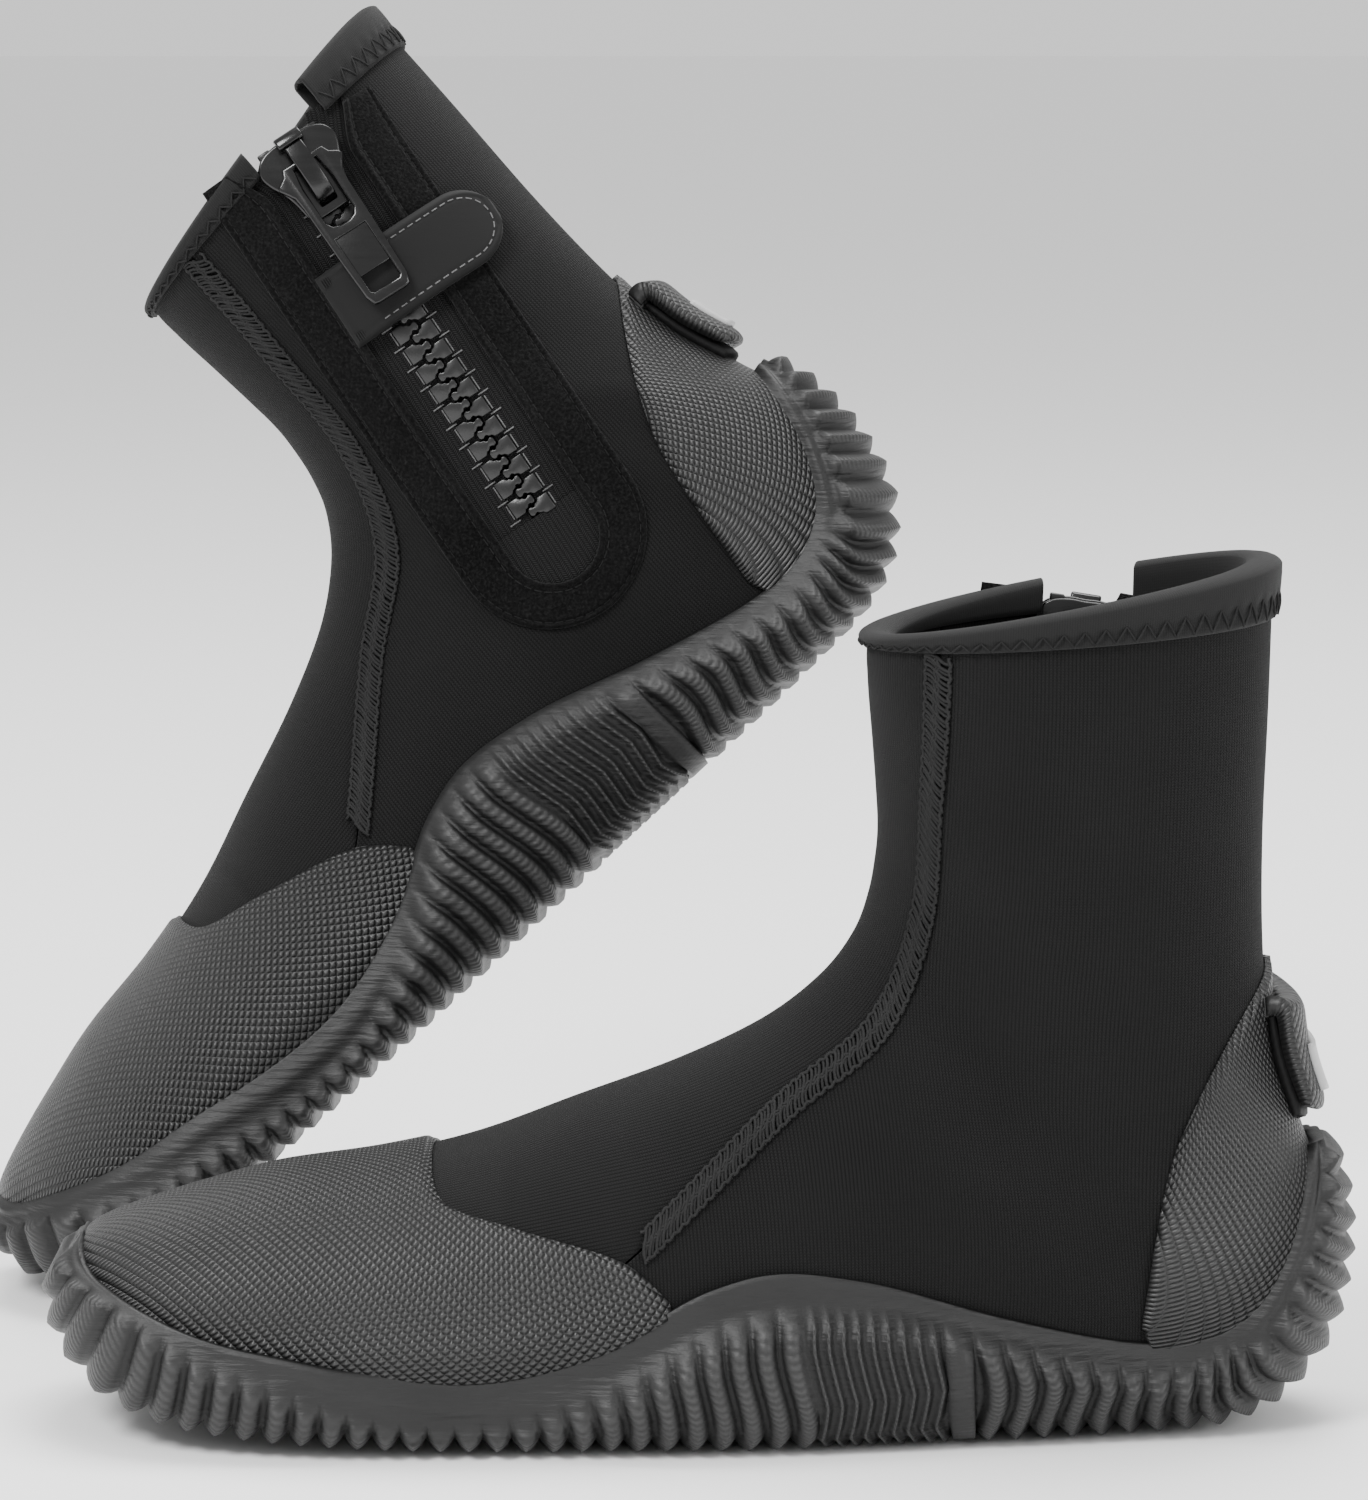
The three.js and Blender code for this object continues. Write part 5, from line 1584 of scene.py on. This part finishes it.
    def tooth(self) -> tuple[Array, list[list[int]]]:
        """One moulded tooth: a block with a rounded head, made once.

        Returns:
            Its points (w, e, height) and its faces.
        """
        half = [(2.25, 4.9), (2.25, 2.2), (1.5, 1.6), (1.35, 0.9), (0.75, 0.4), (0.8, 0.0),
                (1.12, -0.5), (1.1, -1.05), (0.6, -1.45)]
        edge = half + [(-x, y) for x, y in half[::-1]]
        bpy.ops.object.select_all(action="DESELECT")
        bpy.ops.mesh.primitive_circle_add(vertices=len(edge), fill_type="NGON")
        obj = bpy.context.active_object
        put_points(obj, np.array([(x, y, -TOOTH_HEIGHT / 2) for x, y in edge]))
        bpy.ops.object.mode_set(mode="EDIT")
        bpy.ops.mesh.select_all(action="SELECT")
        bpy.ops.mesh.extrude_region_move(TRANSFORM_OT_translate={"value": (0, 0, TOOTH_HEIGHT)})
        bpy.ops.mesh.select_all(action="SELECT")
        bpy.ops.mesh.normals_make_consistent(inside=False)
        bpy.ops.object.mode_set(mode="OBJECT")
        modify(obj, "BEVEL", width=0.22, segments=2, limit_method="ANGLE",
               angle_limit=math.radians(50))
        shape, faces = points_of(obj), [list(p.vertices) for p in obj.data.polygons]
        bpy.data.objects.remove(obj)
        return shape, faces

    def teeth(self) -> None:
        """Both rows of teeth, each tooth on its tape's edge."""
        shape, faces = self.tooth()
        centre = TAPE_AT + TAPE / 2
        for sign, label in ((1, "front"), (-1, "rear")):
            points, sides = [], []
            for place in self.tooth_places(sign):
                w = place + shape[:, 0]
                middle = sign * (1.8 + spread(w))
                away = SKIN.zip_point(w, middle, 1) - SKIN.zip_point(w, middle, 0)
                flat = SKIN.zip_point(w, sign * (shape[:, 1] + spread(w)), 0)
                start = len(points) * len(shape)
                points.append(flat + away * (centre + shape[:, [2]]))
                sides.extend([[i + start for i in face] for face in faces])
            mesh = bpy.data.meshes.new(self.boot.name(f"teeth_{label}"))
            mesh.from_pydata(self.boot.row(np.vstack(points)) * MM, [], sides)
            obj = soften(turn_out(linked(mesh.name, mesh)), 45)
            self.boot.seat(obj, RESIN, "zip_resin", [f"zip_teeth_{label}"])

    def ends(self) -> None:
        """The stops, and the ribbed patch over the chain's foot."""
        for stop in ("top_stop_front", "top_stop_rear", "bottom_stop"):
            node = f"zip_{stop}"
            obj = copy_of(self.boot.name(node), self.boot.name(f"{stop}_block"), 0.35)
            self.boot.seat(obj, RESIN, "zip_resin", [node])
        inside = SLOT_HALF + 1.0
        w = np.linspace(SKIN.zip_to - 3.4, SKIN.zip_length + 0.8, 44)[:, None]
        centre = SKIN.zip_length - SLOT_HALF
        reach = np.sqrt(np.clip(inside**2 - np.clip(w - centre, 0, None) ** 2, 0.3, None))
        v = np.linspace(-1, 1, 40)[None, :]
        e = reach * v
        u, t = SKIN.zip_at(np.broadcast_to(w, e.shape), e)
        ribbed = 6.5  # half the width that has ribs
        ribs = 0.22 * np.abs(np.sin(PI * e / 1.5)) * (np.abs(e) < ribbed)
        roll = 0.35 * (np.abs(e) >= ribbed)
        lift = TAPE_AT + TAPE + 0.75 + ribs + roll * smooth(np.abs(e), ribbed, ribbed + 1)
        uv = np.stack([e, w * np.ones_like(v)], -1)
        obj = self.boot.lay("end_patch", u, t, lift, lift - 1.2, uv)
        self.boot.seat(obj, ZIP_WEAVE, "zip_tape", ["zip_end_patch"])

    def stand(self, obj: Object, w: float, distance: float, lift: float = 0.0) -> Object:
        """Moves a piece made flat, in mm, to a frame on the zip.

        Args:
            obj: the piece.
            w: how far down the zip.
            distance: how far off the skin.
            lift: how far its lower end turns off the boot, degrees.
        Returns:
            The piece.
        """
        origin, axes = SKIN.zip_frame(w, distance, lift)
        put_points(obj, self.boot.row(points_of(obj) @ axes + origin) * MM)
        return turn_out(soften(obj, 40))

    @staticmethod
    def paint_edge_highlight(obj: Object, axis: int = 2) -> Object:
        """Gives a metal piece's rounded edges a brighter material, a painted highlight.

        Args:
            obj: the piece.
            axis: the axis that its flat faces look along.
        Returns:
            The piece.
        """
        obj.data.materials.append(EDGE_HIGHLIGHT.material())
        for face in obj.data.polygons:
            # Faces that slant between the flat faces and the sides take the painted highlight.
            face.material_index = int(0.2 < abs(face.normal[axis]) < 0.96)
        return obj

    def metal(self, obj: Object, node: str, body: str) -> None:
        """Seats a metal piece and keeps the painted highlight on its edges."""
        marks = [face.material_index for face in obj.data.polygons]
        self.boot.seat(obj, GUNMETAL, "slider_metal", [node], body)
        obj.data.materials.append(EDGE_HIGHLIGHT.material())
        obj.data.polygons.foreach_set("material_index", marks)

    def slider(self) -> Object:
        """The slider: two shield-shaped plates, a post and an arched bridge."""
        half = [(-9.9, 0.0), (-10.0, 3.2), (-9.4, 6.8), (-7.9, 9.2), (-5.2, 10.3), (-2.4, 9.7),
                (0.6, 8.2), (4.0, 7.1), (8.0, 6.4), (10.2, 5.6), (10.4, 4.4)]
        shield = half + [(x, -y) for x, y in half[:0:-1]]
        gap, thick = self.room, self.plate
        pieces = [plate(self.boot.name("slider"), [shield], gap, gap + thick, 0.55, True),
                  plate("under_plate", [shield], -gap - thick, -gap, 0.4, True),
                  plate("post", [[(-9.4, -1.2), (-6.6, -1.2), (-6.6, 1.2), (-9.4, 1.2)]],
                        -gap - 0.5, gap + 0.5, 0.2)]
        arch = [(-8.3, -0.6), (-8.5, 2.0), (-7.4, 3.9), (-4.6, 4.5), (-0.5, 4.6), (3.4, 4.2),
                (6.4, 2.9), (8.2, 0.6), (8.3, -0.6), (6.6, -0.6), (6.3, 0.3), (5.0, 1.9),
                (2.6, 2.9), (-0.5, 3.1), (-4.2, 3.1), (-6.2, 2.5), (-6.7, 1.2), (-6.7, -0.6)]
        bridge = plate("bridge", [arch], -2.3, 2.3, 0.4)
        lug = plate("lug", [[(-10.6, -0.4), (-10.9, 1.6), (-9.8, 2.9), (-8.0, 3.0), (-7.8, -0.4)]],
                    -3.4, 3.4, 0.5, True)
        for obj in (bridge, lug):
            co = points_of(obj)
            put_points(obj, np.stack([co[:, 0], co[:, 2], co[:, 1] + gap + thick], -1))
            turn_out(obj)
        for obj in pieces[:2]:
            self.paint_edge_highlight(obj)
        for obj in (pieces[2], bridge, lug):
            self.paint_edge_highlight(obj, 1)
        obj = join(pieces + [bridge, lug])
        put_points(obj, points_of(obj) * (1.05, 1.05, 1))
        return obj

    def pull(self) -> Object:
        """The pull: a fork with two ears, a recessed plate and a window."""
        edge = [(-2.4, 5.4), (-0.6, 6.2), (0.6, 8.2), (1.6, 8.6), (3.2, 7.6), (5.0, 6.5),
                (8.0, 6.2), (24.0, 5.9), (33.0, 5.6), (35.4, 4.8), (35.7, 3.6)]
        ring = edge + [(x, -y) for x, y in edge[::-1]]
        fork = [(-0.9, -3.0), (4.0, -3.7), (13.4, -3.8), (15.0, -2.8), (15.6, -1.2), (15.6, 1.2),
                (15.0, 2.8), (13.4, 3.8), (4.0, 3.7), (-0.9, 3.0)]
        window = [(18.0, -4.0), (32.4, -3.9), (33.0, -3.3), (33.0, 3.3), (32.4, 3.9), (18.0, 4.0)]
        body = self.paint_edge_highlight(plate(self.boot.name("pull"), [ring, fork, window], 0,
                                 self.pull_plate, 0.55))
        recess = [(17.4, -4.4), (28.2, -4.4), (28.2, 4.4), (17.4, 4.4)]
        inlay = self.paint_edge_highlight(plate("inlay", [recess], 0.5, 1.25, 0.15))
        obj = join([body, inlay])
        put_points(obj, points_of(obj) * (1.07, 1.07, 1))
        return obj

    def hardware(self) -> None:
        """The slider and its pull."""
        centre = TAPE_AT + TAPE / 2
        self.metal(self.stand(self.slider(), SLIDER_AT, centre), "slider_body", "zip_slider")
        rise = self.room + self.plate + (self.arch - self.plate - self.pull_plate) / 2
        pull = self.stand(self.pull(), SLIDER_AT - 1.5, centre + rise, 5)
        self.metal(pull, "pull_tab", "zip_pull")

    def staples(self) -> None:
        """Short bright stitches that hold the teeth's cord to the tape."""
        paths = []
        top = np.full(4, TAPE_AT + TAPE + 0.35)
        for sign in (1, -1):
            for centre in self.tooth_places(sign):
                for w0, w1, e0, e1 in ((-1.9, 1.9, 5.35, 5.35), (2.85, 2.85, 4.2, 7.2)):
                    w = centre + np.linspace(w0, w1, 4)
                    e = sign * (np.linspace(e0, e1, 4) + spread(w))
                    paths.append(self.boot.row(SKIN.zip_point(w, e, top)))
        obj = threads(self.boot.name("tape_stitch"), paths, 0.22)
        self.boot.seat(obj, PALE_THREAD, "seam_thread")

    def build(self) -> None:
        """Makes the whole zip."""
        self.facing()
        self.tapes()
        self.teeth()
        self.staples()
        self.ends()
        self.hardware()


@dataclass
class LockStrap:
    """The cloth strap that locks the slider, and its hook patch."""

    boot: Boot

    def half_width(self, e: Array, rear: float) -> Array:
        """Half the strap's width: square in front and round behind.

        Args:
            e: how far towards the toe.
            rear: e of its rear end.
        Returns:
            Half its width at each e.
        """
        round_end = STRAP[1] / 2
        past = np.clip(rear + round_end - e, 0, None)
        return np.sqrt(np.clip(round_end**2 - past**2, 0.02, None))

    def build(self) -> None:
        """Makes the strap, its stitching and the hook patch."""
        length, width, thick = STRAP
        front, rear = SLOT_HALF + 1.5, SLOT_HALF + 1.5 - length - 4.0
        s = np.linspace(0, 1, 80)
        e = np.concatenate([np.linspace(front, rear + width / 2, 50),
                            rear + width / 2 * (1 - np.sin(s[1:] * PI / 2) * 0.995)])[:, None]
        v = np.linspace(-1, 1, 34)[None, :]
        half = self.half_width(e, rear)
        w = STRAP_AT + v * half
        u, t = SKIN.zip_at(w, np.broadcast_to(e, w.shape))
        edge = np.minimum((1 - np.abs(v)) * half, np.minimum(front - e, e - rear) + 0 * v)
        pressed = smooth(edge, 0, 1.1)
        seam = 0.18 * np.exp(-((edge - 2.3) / 0.4) ** 2)
        sewn = smooth(e, front - 7, front - 1) * 1.4
        lift = STRAP_OFF + 0.7 + (thick - 0.7) * pressed - seam - sewn
        uv = np.stack([e * np.ones_like(v), w], -1)
        obj = self.boot.lay("strap", u, t, lift, np.full(w.shape, STRAP_OFF) - sewn, uv)
        self.boot.seat(obj, STRAP_CLOTH, "strap_cloth", ["lock_strap"], "zip_strap")
        self.boot.cloth(obj, "laid", ["zip_plush"])
        self.stitches(front, rear, width, thick)
        patch = copy_of(self.boot.name("strap_hook_patch"), self.boot.name("hook_patch"), 0.12, 1)
        self.boot.seat(patch, HOOK_CLOTH, "hook_cloth", ["strap_hook_patch"], "zip_strap")

    def stitches(self, front: float, rear: float, width: float, thick: float) -> None:
        """The dashed line round the strap's rear end and the bar-tacks in front.

        Args:
            front: e of the strap's front end.
            rear: e of its rear end.
            width: its width.
            thick: its thickness.
        """
        inset = 2.3
        turn = np.linspace(-PI / 2, PI / 2, 60)
        radius = width / 2 - inset
        centre = rear + width / 2
        w = np.concatenate([np.full(40, -radius), radius * np.sin(turn), np.full(40, radius)])
        straight = np.linspace(front - 8, centre, 40)
        e = np.concatenate([straight, centre - radius * np.cos(turn), straight[::-1]])
        line = SKIN.zip_point(STRAP_AT + w, e, np.full(w.shape, STRAP_OFF + thick - 0.05))
        paths = [self.boot.row(path) for path in dashes(line, 0.6, 1.6, 2.5, 1.6)]
        obj = threads(self.boot.name("strap_stitch"), paths, 0.2)
        self.boot.seat(obj, PALE_THREAD, "seam_thread", body="zip_strap")
        tacks = []
        for sign in (-1, 1):
            for k in range(7):
                across = np.linspace(0, 1, 3)
                w = STRAP_AT + sign * (width / 2 - 1.2) - sign * across * 2.2
                e = front - 1.2 - k * 0.55 + 0 * across
                tack = SKIN.zip_point(w, e, np.full(3, STRAP_OFF + thick - 1.1))
                tacks.append(self.boot.row(tack))
        obj = threads(self.boot.name("strap_tack"), tacks, 0.2)
        self.boot.seat(obj, DARK_THREAD, "seam_thread", body="zip_strap")


@dataclass
class HeelKeeper:
    """The moulded hook that keeps a fin strap up, with its plain strip."""

    boot: Boot
    half: float = 0.4  # of its width, as an angle round the heel

    def wrap(self, piece: str, outer: Sequence[tuple[float, float]],
             inner: Sequence[tuple[float, float]], half: float) -> Object:
        """A strip round the heel from its profile.

        Args:
            piece: its name.
            outer: height above the ground and distance off the skin along its outer face.
            inner: the same along its inner face.
            half: half its width, as an angle.
        Returns:
            The piece.
        """
        us = np.linspace(11, LAST, 400)
        heights = SKIN.at(us, np.zeros_like(us))[:, 2]
        faces = []
        t = np.linspace(-half, half, 31)
        for profile in (outer, inner):
            line = spline(np.asarray(profile, float), (len(profile) - 1) * 4 + 1)
            u = np.interp(line[:, 0], heights, us)
            crown = 1 - 0.05 * (t / half) ** 6
            faces.append(SKIN.off(u[:, None] + 0 * t, t[None, :] + 0 * u[:, None],
                                  line[:, [1]] * crown[None, :]))
        uv = np.stack([np.broadcast_to(t * 33, faces[0].shape[:2]), faces[0][..., 2]], -1)
        return shell(self.boot.name(piece), self.boot.row(faces[0]), self.boot.row(faces[1]), uv)

    def build(self) -> None:
        """Makes the keeper, its pad and the strip."""
        outer = [(96.2, 1.7), (97.6, 2.8), (98.0, 4.6), (97.4, 7.2), (95.2, 8.7), (90.0, 9.0),
                 (83.0, 9.1), (76.0, 9.1), (72.4, 8.9), (70.4, 8.0), (70.0, 7.0)]
        inner = [(92.6, 1.7), (93.0, 2.8), (93.2, 3.8), (93.1, 4.6), (92.6, 5.2), (89.0, 5.4),
                 (83.0, 5.5), (76.0, 5.6), (72.8, 5.7), (70.9, 6.0), (70.3, 6.5)]
        keeper = self.wrap("keeper", outer, inner, self.half)
        self.boot.seat(keeper, KEEPER_RUBBER, "keeper_rubber", ["fin_strap_keeper"])
        pad = self.wrap("keeper_pad", [(97.0, 3.4), (84.0, 4.6), (71.0, 4.4), (69.4, 2.4)],
                        [(97.0, 1.6), (84.0, 1.6), (71.0, 1.6), (69.6, 1.5)], self.half * 0.86)
        self.boot.seat(pad, SMOOTH_RUBBER, "keeper_rubber")
        strip = self.wrap("plain_strip", [(86.0, 10.4), (80.0, 10.5), (73.5, 10.5)],
                          [(86.0, 8.8), (80.0, 8.9), (73.5, 8.9)], self.half * 0.55)
        self.boot.seat(strip, PLAIN_STRIP, "tag_plastic", ["keeper_tag"])


@dataclass
class Studio:
    """Camera, lights, floor and backdrop."""

    camera_at: tuple[float, float, float] = (0.01034, -1.38053, 0.343)
    pitch: float = 8.28  # how far the camera looks down, degrees
    lens: float = 139.37

    def camera(self) -> None:
        """The camera."""
        data = bpy.data.cameras.new("camera")
        data.lens, data.sensor_width = self.lens, 36
        data.clip_start, data.clip_end = 0.05, 30
        obj = linked("camera", data)
        obj.location = self.camera_at
        obj.rotation_euler = (math.radians(90 - self.pitch), 0, 0)
        bpy.context.scene.camera = obj

    def light(self, name: str, at: tuple[float, float, float], size: float, power: float) -> None:
        """A soft square light that faces the boots.

        Args:
            name: its name.
            at: where it stands, m.
            size: its side, m.
            power: its strength, W.
        """
        data = bpy.data.lights.new(name, "AREA")
        data.shape, data.size, data.energy = "SQUARE", size, power
        obj = linked(name, data)
        obj.location = at
        aim = Vector((0, 0, 0.13)) - Vector(at)
        obj.rotation_euler = aim.to_track_quat("-Z", "Y").to_euler()

    def floor(self) -> None:
        """The pale floor."""
        bpy.ops.object.select_all(action="DESELECT")
        bpy.ops.mesh.primitive_plane_add(size=24)
        obj = bpy.context.active_object
        obj.name = "floor"
        made = bpy.data.materials.new("pale_floor")
        made.use_nodes = True
        shader = made.node_tree.nodes["Principled BSDF"]
        shader.inputs["Base Color"].default_value = (0.93, 0.93, 0.93, 1)
        shader.inputs["Roughness"].default_value = 0.55
        shader.inputs["Specular IOR Level"].default_value = 0.2
        obj.data.materials.append(made)

    def build(self) -> None:
        """Sets the whole studio."""
        self.camera()
        world = bpy.data.worlds.new("studio")
        bpy.context.scene.world = world
        world.use_nodes = True
        world.node_tree.nodes["Background"].inputs["Color"].default_value = (1, 1, 1, 1)
        world.node_tree.nodes["Background"].inputs["Strength"].default_value = 1.0
        self.light("key", (-0.9, -1.2, 1.5), 0.7, 50)
        self.light("fill", (1.4, -1.3, 0.7), 0.8, 16)
        self.light("top", (0.2, 0.4, 1.9), 1.2, 50)
        self.floor()


def main() -> None:
    """Builds the studio and both boots."""
    logging.basicConfig(level=logging.INFO, format="%(name)s %(message)s")
    Studio().build()
    for side in Side:
        boot = Boot(side)
        for assembly in (SockPanels, CupSole, RubberCaps, Collar, FlatSeams, ZipFastener, LockStrap,
                         HeelKeeper):
            assembly(boot).build()
        log.info("%s boot: %d pieces", side.value, len(boot.made))


if __name__ == "__main__":
    main()
